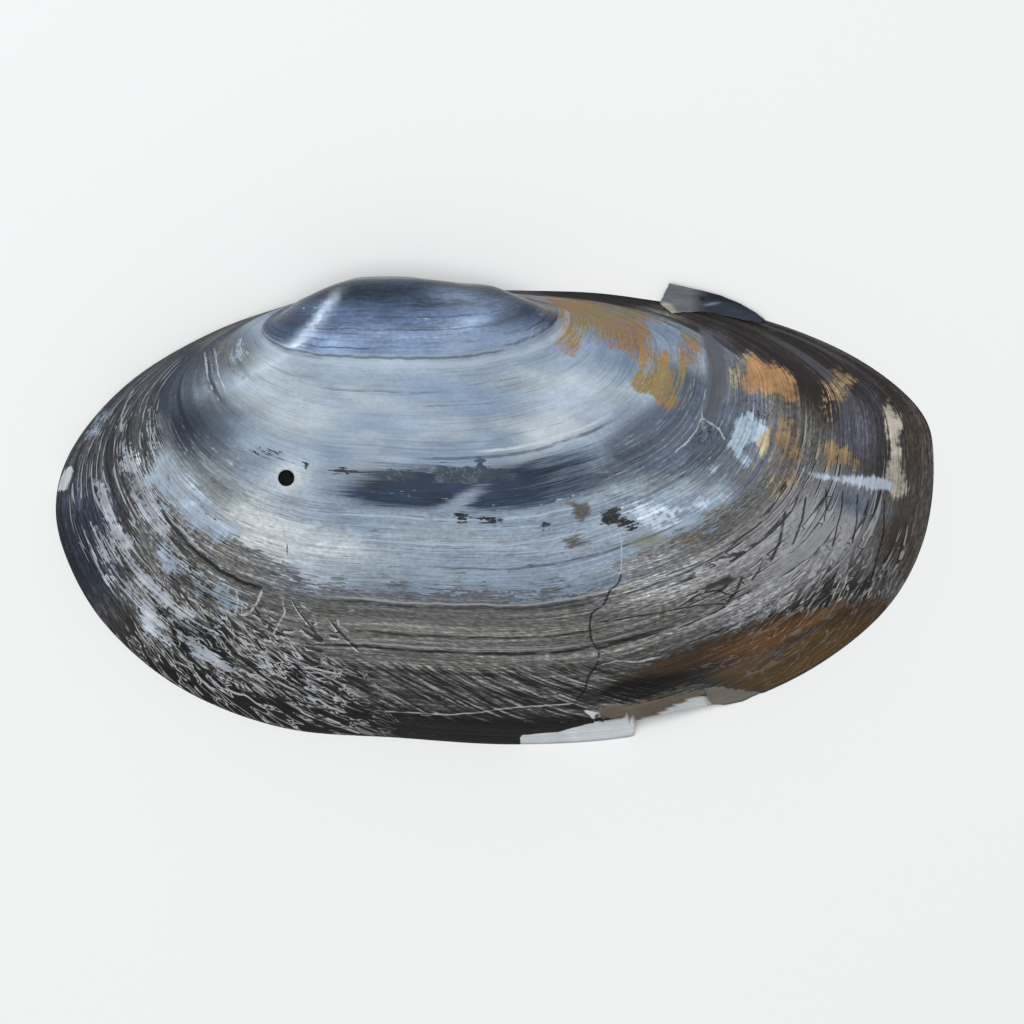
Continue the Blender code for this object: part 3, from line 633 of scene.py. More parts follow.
# Marks: colour, raggedness, depth over which the edge fades, and outline, in millimetres.
marks = {
    "belly chip": ("chalk", 0.04, 0.0, ((20.5, -60.8), (25.9, -60.3), (28.0, -59.7), (30.3, -59.1),
        (31.9, -59.0), (33.6, -58.4), (35.6, -58.3), (36.6, -59.5), (36.6, -62.0), (31.4, -62.5),
        (25.9, -62.5), (20.6, -62.5))),
    "chip splinter": ("chalk", 0.06, 0.0, ((28.9, -57.2), (31.0, -57.5), (30.7, -58.8), (29.9, -57.9))),
    "back chip": ("chalk", 0.05, 0.0, ((36.9, -58.7), (39.0, -58.0), (41.2, -56.8), (43.7, -55.8),
        (45.6, -55.2), (46.3, -57.1), (43.7, -57.3), (41.0, -58.2), (38.2, -59.0))),
    "chip lip": ("chipLip", 0.20, 0.0, ((31.1, -56.9), (38.2, -56.1), (43.7, -54.7), (45.6, -54.2),
        (45.4, -55.2), (41.2, -56.9), (38.9, -58.1), (36.8, -58.8), (34.5, -58.4), (31.4, -58.8))),
    "brown chip": ("chipBrown", 0.10, 0.0, ((45.5, -54.3), (47.2, -54.2), (49.7, -54.5), (53.5, -54.9),
        (52.4, -56.2), (49.1, -56.9), (46.6, -57.3))),
    "front chip": ("chalk", 0.10, 0.0, ((-42.6, -27.4), (-42.2, -25.7), (-41.5, -24.2), (-40.7, -24.0),
        (-40.5, -24.8), (-41.0, -26.2), (-41.5, -27.3))),
    "sky patch": ("skyWhite", 0.27, 0.7, ((49.7, -17.2), (51.9, -16.4), (53.7, -17.7), (54.2, -19.2),
        (52.8, -20.8), (51.2, -21.7), (52.2, -23.2), (51.2, -25.1), (50.1, -22.8), (48.6, -20.9),
        (49.4, -19.1))),
    "wedge": ("wedge", 0.12, 0.5, ((44.4, -4.4), (45.3, -6.8), (45.9, -10.2), (45.9, -14.3),
        (45.2, -17.5), (46.7, -18.3), (48.1, -16.4), (48.9, -13.7), (48.9, -9.6), (48.1, -7.5),
        (46.7, -5.5))),
    "rust patch": ("rustPatch", 0.26, 0.8, ((52.0, -7.6), (53.5, -9.1), (55.4, -10.0), (57.7, -10.9),
        (58.4, -12.6), (59.0, -15.4), (57.3, -15.7), (55.3, -14.7), (52.8, -14.2), (51.1, -14.5),
        (50.1, -13.0), (50.8, -11.2), (51.2, -9.8))),
    "rust cream": ("straw", 0.45, 0.6, ((50.5, -8.5), (51.9, -7.5), (52.7, -8.6), (51.5, -9.8),
        (50.8, -11.2), (50.2, -13.1), (50.6, -14.6), (49.4, -14.3), (49.3, -12.0), (48.6, -9.8),
        (49.8, -10.9))),
    "tan streaks": ("tan", 0.80, 1.2, ((54.5, -17.5), (57.0, -17.0), (58.8, -19.0), (59.5, -22.5),
        (58.2, -26.0), (55.8, -28.0), (54.2, -29.5), (55.5, -25.5), (55.8, -22.0), (54.6, -19.5))),
    "straw sliver": ("straw", 0.50, 0.8, ((53.4, -18.4), (54.6, -19.4), (54.6, -21.8), (53.4, -22.8),
        (52.9, -20.8))),
    "tail patch": ("tailWhite", 0.30, 0.5, ((70.6, -14.5), (71.9, -16.2), (73.0, -18.4), (72.4, -19.8),
        (72.6, -21.4), (72.8, -24.0), (73.7, -27.2), (71.9, -28.8), (70.9, -27.4), (70.2, -24.6),
        (71.1, -21.4), (70.4, -18.4), (70.2, -16.1))),
    "tail fleck": ("strawDim", 0.60, 1.3, ((61.6, -9.6), (63.9, -10.5), (65.8, -12.3), (65.7, -13.8),
        (64.4, -13.1), (63.2, -11.7))),
    "rust fleck": ("tan", 0.80, 1.1, ((63.2, -12.0), (64.8, -12.8), (65.7, -14.5), (64.4, -16.4),
        (63.9, -18.3), (62.3, -18.3), (63.2, -15.6), (62.9, -13.7))),
    "straw streaks": ("strawDim", 0.80, 0.7, ((62.3, -19.7), (63.9, -20.8), (66.5, -22.5), (67.7, -24.3),
        (63.1, -24.6), (60.8, -24.3), (61.4, -21.8))),
    "ridge ledge": ("ledge", 0.18, 0.5, ((58.7, -24.4), (63.1, -25.1), (68.7, -25.1), (71.8, -26.1),
        (73.9, -26.9), (72.1, -27.7), (68.3, -27.4), (63.9, -26.3), (59.8, -25.5))),
    "olive": ("olive", 0.50, 1.2, ((34.4, -34.1), (37.1, -32.8), (39.9, -33.0), (41.2, -34.1),
        (38.2, -35.5), (34.8, -35.8))),
    "ochre streak": ("ochreDim", 0.35, 0.8, ((45.5, -32.9), (48.1, -31.1), (49.3, -30.2), (48.7, -31.7),
        (46.0, -33.6), (42.7, -34.5))),
    "crust a": ("crust", 0.30, 0.0, ((11.7, -30.2), (14.3, -30.6), (16.7, -30.6), (18.8, -31.7),
        (17.7, -32.2), (14.3, -31.5), (12.0, -31.4))),
    "crust b": ("crustPale", 0.22, 0.4, ((26.9, -28.9), (30.0, -28.7), (30.3, -30.7), (28.9, -31.8),
        (27.9, -31.0))),
    "crust c": ("crust", 0.32, 0.0, ((31.7, -30.6), (33.4, -29.8), (34.9, -30.9), (36.9, -31.7),
        (36.2, -33.0), (34.1, -32.2), (31.5, -31.9))),
    "crust d": ("crustPale", 0.30, 0.4, ((26.2, -33.7), (28.3, -33.6), (31.1, -34.1), (29.6, -34.9),
        (26.6, -35.1))),
    "crust e": ("crust", 0.30, 0.0, ((23.6, -31.4), (24.7, -32.1), (23.6, -32.5))),
    "crust f": ("crust", 0.30, 0.0, ((-5.2, -24.4), (-2.7, -24.2), (-1.0, -24.6), (-2.7, -25.0),
        (-4.8, -25.1))),
    "crust g": ("crustBlue", 0.28, 0.0, ((0.5, -25.1), (2.7, -24.3), (5.9, -24.6), (6.6, -25.9),
        (3.4, -26.1), (1.4, -25.8))),
    "crust h": ("crustBlue", 0.28, 0.0, ((8.9, -23.9), (11.2, -24.2), (14.3, -23.8), (14.9, -22.5),
        (16.0, -23.9), (18.8, -24.2), (20.1, -25.4), (17.1, -26.1), (11.6, -26.3), (9.0, -25.9))),
    "crust i": ("crustPale", 0.45, 0.0, ((-21.0, -7.0), (-19.1, -6.6), (-18.7, -7.6), (-19.7, -8.6),
        (-18.3, -10.9), (-17.3, -12.0), (-19.5, -10.6), (-20.9, -8.6))),
    "crust j": ("crust", 0.50, 0.0, ((-16.2, -21.4), (-14.1, -21.7), (-12.6, -22.4), (-14.3, -22.8),
        (-15.8, -22.3))),
    "crust k": ("crust", 0.20, 0.0, ((-9.0, -23.3), (-8.1, -23.5), (-8.7, -24.2))),
    "band flakes": ("milk", 0.45, 1.0, ((36.0, -28.2), (37.9, -28.0), (40.3, -28.7), (43.7, -29.1),
        (47.1, -27.4), (49.2, -27.8), (48.4, -28.7), (45.4, -29.7), (42.0, -31.2), (39.4, -32.9),
        (37.3, -32.1), (34.7, -30.4))),
    "sky fleck": ("skyWhite", 0.20, 0.3, ((46.2, -24.3), (47.0, -23.7), (47.6, -24.2), (47.0, -25.0),
        (46.4, -25.2))),
    "flake a": ("flake", 0.62, 0.0, ((-36.7, -28.4), (-35.5, -29.5), (-35.1, -31.7), (-32.4, -35.8),
        (-29.2, -40.3), (-24.2, -44.6), (-20.6, -46.6), (-22.1, -47.0), (-27.3, -43.8), (-30.0, -41.4),
        (-32.6, -38.2), (-34.8, -33.9), (-36.3, -30.7))),
    "flake b": ("flake", 0.80, 0.0, ((-37.7, -32.8), (-35.8, -35.5), (-34.5, -38.2), (-31.9, -41.6),
        (-29.1, -44.6), (-26.8, -48.1), (-28.7, -47.4), (-30.7, -44.8), (-32.6, -42.3), (-35.5, -38.6),
        (-37.3, -35.2))),
    "flake c": ("flake", 0.50, 0.0, ((-26.8, -46.1), (-24.4, -47.3), (-21.6, -49.6), (-18.8, -51.5),
        (-19.5, -51.9), (-23.0, -49.9), (-25.8, -47.5))),
    "flake d": ("flakeBlue", 0.95, 1.5, ((-27.6, -21.0), (-25.3, -21.7), (-25.7, -24.6), (-22.8, -27.3),
        (-17.7, -32.8), (-21.2, -34.8), (-25.9, -31.4), (-29.1, -28.1), (-31.0, -25.3))),
    "flake e": ("flake", 0.60, 0.0, ((-34.0, -18.4), (-33.2, -22.5), (-31.7, -24.6), (-29.9, -28.7),
        (-27.9, -32.8), (-30.0, -32.8), (-32.5, -28.1), (-33.4, -24.0))),
    "flake f": ("flake", 0.35, 0.0, ((-37.7, -25.7), (-36.5, -26.8), (-35.1, -30.0), (-34.5, -31.9),
        (-35.9, -31.7), (-37.0, -28.9))),
    "flake g": ("flakeBlue", 0.90, 1.0, ((-30.6, -34.5), (-27.9, -34.5), (-23.8, -39.6), (-27.3, -39.3))),
    "flake h": ("flakeBlue", 0.90, 1.0, ((-24.3, -39.3), (-21.2, -40.0), (-16.7, -42.3), (-18.0, -43.7),
        (-22.5, -42.3))),
    "flake i": ("flakeBlue", 0.60, 0.0, ((-38.2, -19.4), (-37.1, -16.4), (-35.8, -15.6), (-36.0, -17.2),
        (-37.3, -19.4))),
    "flake j": ("flakeBlue", 0.45, 0.0, ((-18.8, -8.5), (-17.7, -7.1), (-16.7, -8.5), (-17.7, -9.6),
        (-18.8, -9.8))),
}

# Hairlines: half width and route, in millimetres.
hairlines = {
    "dark": (
        (0.16, ((34.4, -38.5), (34.0, -40.0), (32.8, -41.0), (32.0, -42.9), (30.3, -44.0), (30.0, -45.9),
            (30.3, -47.8), (31.4, -49.4), (31.1, -51.1), (29.9, -52.7), (29.4, -54.6), (28.0, -56.0))),
        (0.28, ((-28.7, -29.8), (-27.0, -32.2), (-25.1, -34.4), (-23.1, -36.3), (-20.2, -38.4),
            (-17.2, -39.9), (-14.5, -40.8))),
        (0.22, ((56.8, -30.0), (56.3, -32.8), (55.8, -34.8), (54.6, -37.2))),
        (0.16, ((53.8, -36.5), (53.2, -38.2), (51.9, -39.8))),
        (0.20, ((50.9, -38.8), (50.1, -41.0), (48.5, -43.0))),
        (0.16, ((59.6, -27.9), (59.0, -31.5), (57.6, -35.0))),
        (0.14, ((45.6, -41.3), (47.4, -40.9), (49.0, -41.6))),
        (0.12, ((31.4, -45.3), (34.8, -44.8), (39.6, -44.0), (44.4, -43.1), (48.6, -42.7))),
        (0.12, ((31.4, -48.9), (36.9, -47.5), (39.9, -46.6))),
        (0.12, ((62.3, -26.9), (62.3, -29.4), (62.0, -31.7))),
        (0.12, ((66.6, -27.6), (66.5, -31.4), (65.8, -34.8))),
        (0.14, ((70.3, -28.4), (70.2, -32.8), (69.2, -36.9), (68.0, -41.0))),
        (0.12, ((64.6, -27.2), (64.4, -30.0), (63.5, -33.5), (63.1, -35.2))),
        (0.12, ((63.9, -38.5), (61.4, -41.2), (58.7, -43.1), (57.3, -44.0))),
        (0.11, ((-11.3, -34.4), (-11.2, -36.3))),
    ),
    "pale": (
        (0.15, ((-22.5, -8.2), (-22.4, -10.2), (-22.0, -12.3), (-21.3, -13.9), (-20.5, -15.2))),
        (0.13, ((-21.3, -7.7), (-20.9, -9.8), (-20.6, -11.7), (-19.7, -13.7), (-18.0, -15.3),
            (-16.4, -16.5))),
        (0.12, ((-32.2, -13.5), (-33.2, -15.3), (-33.9, -17.2), (-34.0, -19.4))),
        (0.12, ((45.9, -13.3), (45.3, -17.2), (44.8, -18.8), (43.4, -20.6), (41.5, -22.2))),
        (0.14, ((45.3, -17.3), (46.7, -18.3), (47.7, -19.0), (48.6, -20.6))),
        (0.10, ((34.1, -32.8), (34.4, -35.2), (34.3, -38.5))),
        (0.16, ((-18.3, -40.7), (-18.0, -42.3), (-18.4, -44.5))),
        (0.18, ((-14.7, -40.7), (-15.4, -42.6), (-16.4, -44.0), (-17.8, -44.4))),
        (0.14, ((-11.9, -41.9), (-11.6, -44.0), (-12.6, -45.9), (-13.4, -47.2))),
        (0.16, ((-9.6, -42.7), (-7.9, -44.0), (-7.1, -46.1))),
        (0.16, ((-4.5, -44.8), (-4.1, -45.9), (-2.7, -46.7))),
        (0.09, ((1.9, -57.5), (4.6, -57.6), (8.2, -57.8), (10.9, -58.0), (14.5, -57.7), (17.8, -57.2),
            (20.5, -56.9), (23.9, -56.7), (27.6, -56.5))),
        (0.12, ((31.4, -51.1), (33.9, -50.5), (36.3, -50.8), (40.0, -50.0))),
        (0.07, ((19.8, -17.6), (20.1, -19.0), (20.3, -20.2))),
        (0.14, ((76.7, -19.1), (77.0, -23.2), (77.0, -27.3), (76.5, -31.4))),
    ),
}


# Strokes strewn over the skin: where they lie round the shell and by stage, how many, length and half width
# in millimetres, how far they lean across the growth lines (mean and spread), how much they bend, and how
# strong their dark side (painted shade) and their pale side (painted highlight) are.
strokeFamilies = {
    "fold": {"around": (0.60, 0.722), "stage": (0.755, 0.975), "count": 90, "length": (4.0, 15.0),
        "halfWidth": (0.05, 0.13), "lean": (0.05, 0.12), "bend": 1.5, "dark": 0.80, "pale": 0.50},
    "crumple": {"around": (0.605, 0.695), "stage": (0.850, 0.985), "count": 75, "length": (3.0, 9.0),
        "halfWidth": (0.05, 0.10), "lean": (-0.75, 0.20), "bend": 1.5, "dark": 0.30, "pale": 0.18},
    "tangle": {"around": (0.272, 0.390), "stage": (0.80, 0.965), "count": 120, "length": (1.6, 5.0),
        "halfWidth": (0.08, 0.19), "lean": (0.9, 0.9), "bend": 12.0, "dark": 0.85, "pale": 0.95},
    "flank": {"around": (0.14, 0.30), "stage": (0.66, 0.95), "count": 105, "length": (4.0, 18.0),
        "halfWidth": (0.07, 0.18), "lean": (0.0, 0.25), "bend": 2.0, "dark": 0.55, "pale": 0.75},
}


# The stroke nearest each point: signed distance in half widths, and how strong its dark side (painted shade)
# and pale side (painted highlight) are.
# A stroke is the curve stage = s + lean * a + bend * a^2, where a is the way round from its middle.
def strokeFields(stage, around):
    chance = np.random.default_rng(11)
    best, side = np.full(stage.shape, 1e9), np.full(stage.shape, 9.0)
    dark, pale = np.zeros(stage.shape), np.zeros(stage.shape)
    stageRun, aroundRun = np.hypot(*marginAt(around)), marginLength * stage
    for family in strokeFamilies.values():
        count = family["count"]
        drawn = ("around", "stage", "length", "halfWidth")
        draws = [chance.uniform(*family[name], count) for name in drawn]
        leans, bends = chance.normal(*family["lean"], count), chance.normal(0.0, family["bend"], count)
        near = (np.abs(around - np.mean(family["around"])) < 0.15) & (stage > 0.5)
        t, s = around[near], stage[near]
        nearBest, nearSide, nearDark, nearPale = best[near], side[near], dark[near], pale[near]
        stageScale, aroundScale = stageRun[near], aroundRun[near]
        for t0, s0, length, halfWidth, lean, bend in zip(*draws, leans, bends):
            a = t - t0
            across = (s - s0 - lean * a - bend * a * a) * stageScale
            along = 2 * np.abs(a) * aroundScale / length
            distance = np.hypot(across, np.maximum(along - 1.0, 0.0) * length / 2)
            closer = distance < nearBest
            shown = (1.0 - rise(along, 0.75, 1.05)) * (1.0 - rise(distance, 0.6, 1.0))
            nearBest = np.where(closer, distance, nearBest)
            taper = np.sqrt(np.maximum(1.0 - along**2, 0.06))
            nearSide = np.where(closer, across / (halfWidth * taper), nearSide)
            nearDark = np.where(closer, family["dark"] * shown, nearDark)
            nearPale = np.where(closer, family["pale"] * shown, nearPale)
        best[near], side[near], dark[near], pale[near] = nearBest, nearSide, nearDark, nearPale
    return np.clip(side, -9.0, 9.0), dark, pale


# Inside: distance to the nearest side of a closed outline, positive within it.
def inside(x, y, outline):
    near, within = np.full(x.shape, 1e9), np.zeros(x.shape, bool)
    for (ax, ay), (bx, by) in zip(outline, outline[1:] + outline[:1]):
        run = ((x - ax) * (bx - ax) + (y - ay) * (by - ay)) / ((bx - ax) ** 2 + (by - ay) ** 2)
        run = np.clip(run, 0.0, 1.0)
        near = np.minimum(near, np.hypot(x - ax - run * (bx - ax), y - ay - run * (by - ay)))
        within ^= ((ay > y) != (by > y)) & (x < ax + (bx - ax) * (y - ay) / (by - ay if by != ay else 1.0))
    return np.where(within, near, -near)


# Beside: signed distance to a line, and how far from the line's ends its nearest point is.
def beside(x, y, line):
    line = np.array(line)
    lengths = np.hypot(*np.diff(line, axis=0).T)
    before = np.concatenate([[0.0], np.cumsum(lengths)])
    near, side, depth = np.full(x.shape, 1e9), np.zeros(x.shape), np.zeros(x.shape)
    for (ax, ay), (bx, by), length, start in zip(line, line[1:], lengths, before):
        ux, uy = (bx - ax) / length, (by - ay) / length
        along, across = (x - ax) * ux + (y - ay) * uy, (x - ax) * uy - (y - ay) * ux
        run = np.clip(along, 0.0, length)
        distance = np.hypot(x - ax - run * ux, y - ay - run * uy)
        closer = distance < near
        near = np.where(closer, distance, near)
        side = np.where(closer, np.copysign(distance, across), side)
        depth = np.where(closer, np.minimum(start + run, before[-1] - start - run), depth)
    return side, depth


# The mark nearest each point: how far inside it the point is, its raggedness, fade, colour and crustiness.
def markFields(x, y):
    best, paint = np.full(x.shape, -1e9), np.zeros((len(x), 3))
    ragged, fading, crusty = np.zeros((3, len(x)))
    for name, edge, fade, outline in marks.values():
        depth = inside(x, y, outline)
        nearer = depth > best
        best = np.where(nearer, depth, best)
        ragged = np.where(nearer, edge, ragged)
        fading = np.where(nearer, fade, fading)
        crusty = np.where(nearer, float(name.startswith("crust")), crusty)
        paint = np.where(nearer[:, None], tone(name), paint)
    return np.maximum(best, -5.0), ragged, fading, paint, crusty


# The hairline nearest each point: signed distance in half widths, and its reach, which fades beside it
# and towards its ends.
def hairlineFields(x, y, family):
    best, side, reach = np.full(x.shape, 1e9), np.full(x.shape, 9.0), np.zeros(x.shape)
    for halfWidth, line in hairlines[family]:
        offset, depth = beside(x, y, line)
        nearer = np.abs(offset) < best
        best = np.where(nearer, np.abs(offset), best)
        side = np.where(nearer, offset / halfWidth, side)
        reach = np.where(nearer, (1.0 - np.abs(offset)) * rise(depth, -0.1, 1.2), reach)
    return side, np.maximum(reach, 0.0)


# Places where the streaks are stronger, or calmer where the last number is below 0.
streakPlaces = (
    ((38.0, -10.0), (10.0, 12.0), 0, 0.25), ((35.0, -24.0), (14.0, 8.0), 20, 0.30),
    ((62.0, -33.0), (24.0, 15.0), 28, -0.80), ((66.0, -18.0), (16.0, 12.0), -40, -0.30),
    ((52.0, -52.0), (16.0, 4.0), 22, -0.50), ((10.0, -44.5), (42.0, 12.0), 0, -0.40),
    ((-25.0, -14.0), (8.0, 12.0), -20, -0.50),
)


# Strength of the streaks: it steps up with the stage of growth, calm on the beak and rough on the skin.
def streakStrength(x, y, stage):
    strength = 0.32 + 0.38 * rise(stage, 0.50, 0.62) + 0.25 * rise(stage, 0.66, 0.80)
    strength = strength + 0.42 * (1 - rise(stage, 0.30, 0.34))
    strength = strength + 0.10 * rise(-x, 16.0, 24.0) * (1 - rise(stage, 0.66, 0.72))
    return strength + patches(x, y, streakPlaces)


# Lining: the round scars where the muscles held, two in front and one behind, and the rim's line.
liningMarks = {
    "scars": (
        ((-26.0, -16.0), (7.0, 6.0), -30), ((-20.0, -22.0), (2.6, 2.2), 0), ((62.0, -18.0), (8.5, 7.0), -20),
    ),
    "rimStage": 0.86, "rimSoft": 0.012, "rimWaver": 0.008,
}


# Lining places: 1 in a scar, and 1 past the rim's wavering line.
def liningPlaces(x, y, stage):
    scars = sum(rise(patch(x, y, at, size, turn), 0.05, 0.20) for at, size, turn in liningMarks["scars"])
    line = liningMarks["rimStage"] + liningMarks["rimWaver"] * rough(x / 4.0, y / 4.0, 61)
    return np.minimum(scars, 1.0), rise(stage, line, line + liningMarks["rimSoft"])


# Places with a fine net of cracks.
netPlaces = (
    ((53.0, -16.3), (5.5, 2.4), -20, 1.0), ((46.0, -19.5), (4.0, 3.0), 30, 1.0),
    ((52.8, -20.0), (1.6, 2.4), 0, 1.0),
)


# Places of the skin's own kinds: slanting strokes on the belly, a tangle at the front, wrinkles at the low
# back end, gloss on the brown tongue, broad streaks at the hinge side, and nets of cracks.
def foldPlaces(x, y, stage, around):
    gloss = np.minimum(1.6 * patch(x, y, (52.0, -50.6), (15.0, 3.6), 22), 1.0)
    belly = window(around, 0.34, 0.545, 0.02) * window(stage, 0.862, 0.950, 0.012)
    edge = 0.79 + 0.05 * rise(around, 0.34, 0.40)
    front = window(around, 0.262, 0.405, 0.025) * rise(stage, edge, edge + 0.07)
    dorsal = np.minimum(1.6 * patch(x, y, (58.0, -9.0), (19.0, 8.0), -32), 1.0)
    low = window(around, 0.608, 0.690, 0.016) * rise(stage, 0.845, 0.90) * rise(stage, 1.02, 0.96)
    return belly, front, low, gloss, dorsal, np.minimum(patches(x, y, netPlaces), 1.0)


# Body: the pale stretch below the beak and the one below the navy band, where the colour drifts most.
def bodyPlaces(x, y, stage):
    pale = window(stage, 0.345, 0.530, 0.015) + 0.6 * window(stage, 0.60, 0.76, 0.02)
    return pale * (1 - patch(x, y, (-25.0, -14.0), (10.0, 14.0), -20))


# Attribute: one number, or three for a colour, at every point.
def addAttribute(mesh, name, values):
    kind = "FLOAT_VECTOR" if values.ndim == 2 else "FLOAT"
    attribute = mesh.attributes.new(name, kind, "POINT")
    attribute.data.foreach_set("vector" if values.ndim == 2 else "value", values.astype(np.float32).ravel())


# Painted places are where the eye sees them: what lies higher looks further from the view's centre.
def asSeen(points, place):
    centre = np.array(studio["viewCentre"])
    spread = studio["cameraHeight"] / (studio["cameraHeight"] - points[:, 2:])
    return ((centre + (points[:, :2] - centre) * spread) * 1000.0 - place[:2]).T


x, y = asSeen(points, place)
markDepth, markRagged, markFade, markPaint, markCrust = markFields(x, y)
for name, values in (
    ("shellPaint", shellPaint(x, y, stages, arounds)), ("skinPaint", skinPaint(x, y, stages, arounds)),
    ("skinCover", skinCover(x, y, stages, arounds)), ("stainCover", patches(x, y, stainPlaces)),
    ("navyBand", navyBand(x, y, stages, arounds)),
    ("brownDepth", np.maximum(inside(x, y, brownSkin["outline"]), -5.0)),
    ("brownPaint", laidOver(np.broadcast_to(tone("skinBrown"), (len(x), 3)), x, y, brownSkin["clouds"])),
    ("bands", rough(arounds * 7, stages * 60, 51)), ("cloud", rough(x / 5.0, y / 2.6, 52, 4)),
    ("hue", rough(x / 11.0, y / 3.0, 56, 4)),
    ("bodyPlace", bodyPlaces(x, y, stages)),
    ("wobble", rough(x / 2.0, y / 2.0, 53, 2)), ("broad", rough(arounds * 9, stages * 34, 54)),
    ("meander", stages + 0.003 * rough(arounds * 40, stages * 4, 55)),
    ("streak", streakStrength(x, y, stages)),
    ("markDepth", markDepth), ("markRagged", markRagged), ("markPaint", markPaint),
    ("markFade", markFade), ("markCrust", markCrust),
):
    addAttribute(mesh, name, values)
foldNames = ("bellyStrokes", "frontTangle", "lowWrinkles", "gloss", "dorsal", "netPlaces")
for name, values in zip(foldNames, foldPlaces(x, y, stages, arounds)):
    addAttribute(mesh, name, values)
for name, values in zip(("scars", "rimPlace"), liningPlaces(x, y, stages)):
    addAttribute(mesh, name, values)
for family in hairlines:
    side, reach = hairlineFields(x, y, family)
    addAttribute(mesh, family + "Side", side)
    addAttribute(mesh, family + "Reach", reach)

for name, values in zip(("strokeSide", "strokeShade", "strokeLight"), strokeFields(stages, arounds)):
    addAttribute(mesh, name, values)

uvMap = mesh.uv_layers.new(name="growth")
corners = np.empty(len(mesh.loops), np.int32)
mesh.loops.foreach_get("vertex_index", corners)
uvMap.data.foreach_set("uv", np.stack([arounds, stages], axis=-1)[corners].astype(np.float32).ravel())
print("painted")


# A material's nodes, made by short calls; every call gives back the socket that carries its result.
class Nodes:
    def __init__(self, tree):
        self.tree = tree

    def node(self, kind, inputs=(), **settings):
        made = self.tree.nodes.new(kind)
        for name, value in settings.items():
            setattr(made, name, value)
        for name, value in dict(inputs).items():
            if hasattr(value, "is_linked"):
                self.tree.links.new(value, made.inputs[name])
            else:
                made.inputs[name].default_value = value
        return made

    def math(self, operation, a, b=0.0, c=0.0):
        return self.node("ShaderNodeMath", {0: a, 1: b, 2: c}, operation=operation).outputs[0]

    def rise(self, value, low, high, start=0.0, end=1.0):
        inputs = {"Value": value, "From Min": low, "From Max": high, "To Min": start, "To Max": end}
        return self.node("ShaderNodeMapRange", inputs, interpolation_type="SMOOTHSTEP").outputs[0]

    def mix(self, share, a, b):
        return self.node("ShaderNodeMix", {0: share, 6: a, 7: b}, data_type="RGBA").outputs[2]

    def group(self, tree, inputs):
        return self.node("ShaderNodeGroup", inputs, node_tree=tree).outputs[0]

    # a colour times 2 ^ stops
    def lit(self, colour, stops):
        return self.group(litGroup, {"Colour": colour, "Stops": stops})

    def attribute(self, name, colour=False):
        made = self.node("ShaderNodeAttribute", attribute_name=name)
        return made.outputs["Color" if colour else "Fac"]

    # noise from -1 to 1, with so many swells per unit along each axis
    def streaks(self, vector, swells, detail=1.0, roughness=0.6, distortion=0.0):
        return self.group(streakGroup, {"Vector": vector, "Swells": swells, "Detail": detail,
            "Roughness": roughness, "Distortion": distortion})

    # 1 where the value is within a half width of the middle
    def line(self, value, halfWidth, middle=0.0):
        apart = self.math("ABSOLUTE", self.less(value, middle))
        return self.rise(apart, 0.5 * halfWidth, 1.3 * halfWidth, 1.0, 0.0)

    def product(self, first, *others):
        for other in others:
            first = self.math("MULTIPLY", first, other)
        return first

    # the sum of shares of some values; a first value given alone counts whole
    def total(self, first, *others):
        if isinstance(first, tuple):
            first = self.math("MULTIPLY", first[1], first[0])
        for share, other in others:
            first = self.math("MULTIPLY_ADD", other, share, first)
        return first

    def most(self, a, b):
        return self.math("MAXIMUM", a, b)

    def less(self, a, b):
        return self.math("SUBTRACT", a, b)

    # the normal of a height in millimetres
    def bumped(self, height):
        inputs = {"Height": height, "Strength": 1.0, "Distance": 0.001}
        return self.node("ShaderNodeBump", inputs).outputs[0]

    # a named colour laid over another where the mask says
    def laid(self, colour, name, mask):
        return self.mix(mask, colour, rgba(name))


# Colour with its alpha, for a shader's socket.
def rgba(name):
    return (*tone(name), 1.0)


# Material: a new one and its nodes.
def newMaterial(name):
    material = bpy.data.materials.new(name)
    material.use_nodes = True
    return material, Nodes(material.node_tree)


# Surface: the sockets that change over it are linked, and the rest are set.
def setSurface(material, linked, fixed):
    surface = material.node_tree.nodes["Principled BSDF"]
    for name, socket in linked.items():
        material.node_tree.links.new(socket, surface.inputs[name])
    for name, value in fixed.items():
        surface.inputs[name].default_value = value


# Group: an empty tree with named inputs and one output.
def newGroup(name, inputs, output):
    tree = bpy.data.node_groups.new(name, "ShaderNodeTree")
    for label, kind in inputs.items():
        tree.interface.new_socket(label, in_out="INPUT", socket_type="NodeSocket" + kind)
    tree.interface.new_socket(output[0], in_out="OUTPUT", socket_type="NodeSocket" + output[1])
    return tree, tree.nodes.new("NodeGroupInput").outputs, tree.nodes.new("NodeGroupOutput").inputs


# Streaks: noise stretched by its number of swells along each axis, from -1 to 1.
streakGroup, given, result = newGroup("streaks", {"Vector": "Vector", "Swells": "Vector", "Detail": "Float",
    "Roughness": "Float", "Distortion": "Float"}, ("Height", "Float"))
n = Nodes(streakGroup)
stretched = n.node("ShaderNodeMapping", {"Vector": given["Vector"], "Scale": given["Swells"]}).outputs[0]
swell = n.node("ShaderNodeTexNoise", {"Vector": stretched, "Scale": 1.0, "Detail": given["Detail"],
    "Roughness": given["Roughness"], "Distortion": given["Distortion"]}).outputs["Fac"]
streakGroup.links.new(n.math("MULTIPLY_ADD", swell, 2.0, -1.0), result["Height"])

# Lit: a colour made lighter or darker by so many stops.
litGroup, given, result = newGroup("lit", {"Colour": "Color", "Stops": "Float"}, ("Colour", "Color"))
n = Nodes(litGroup)
power = n.math("POWER", 2.0, given["Stops"])
lighter = n.node("ShaderNodeVectorMath", {0: given["Colour"], 3: power}, operation="SCALE")
litGroup.links.new(lighter.outputs[0], result["Colour"])


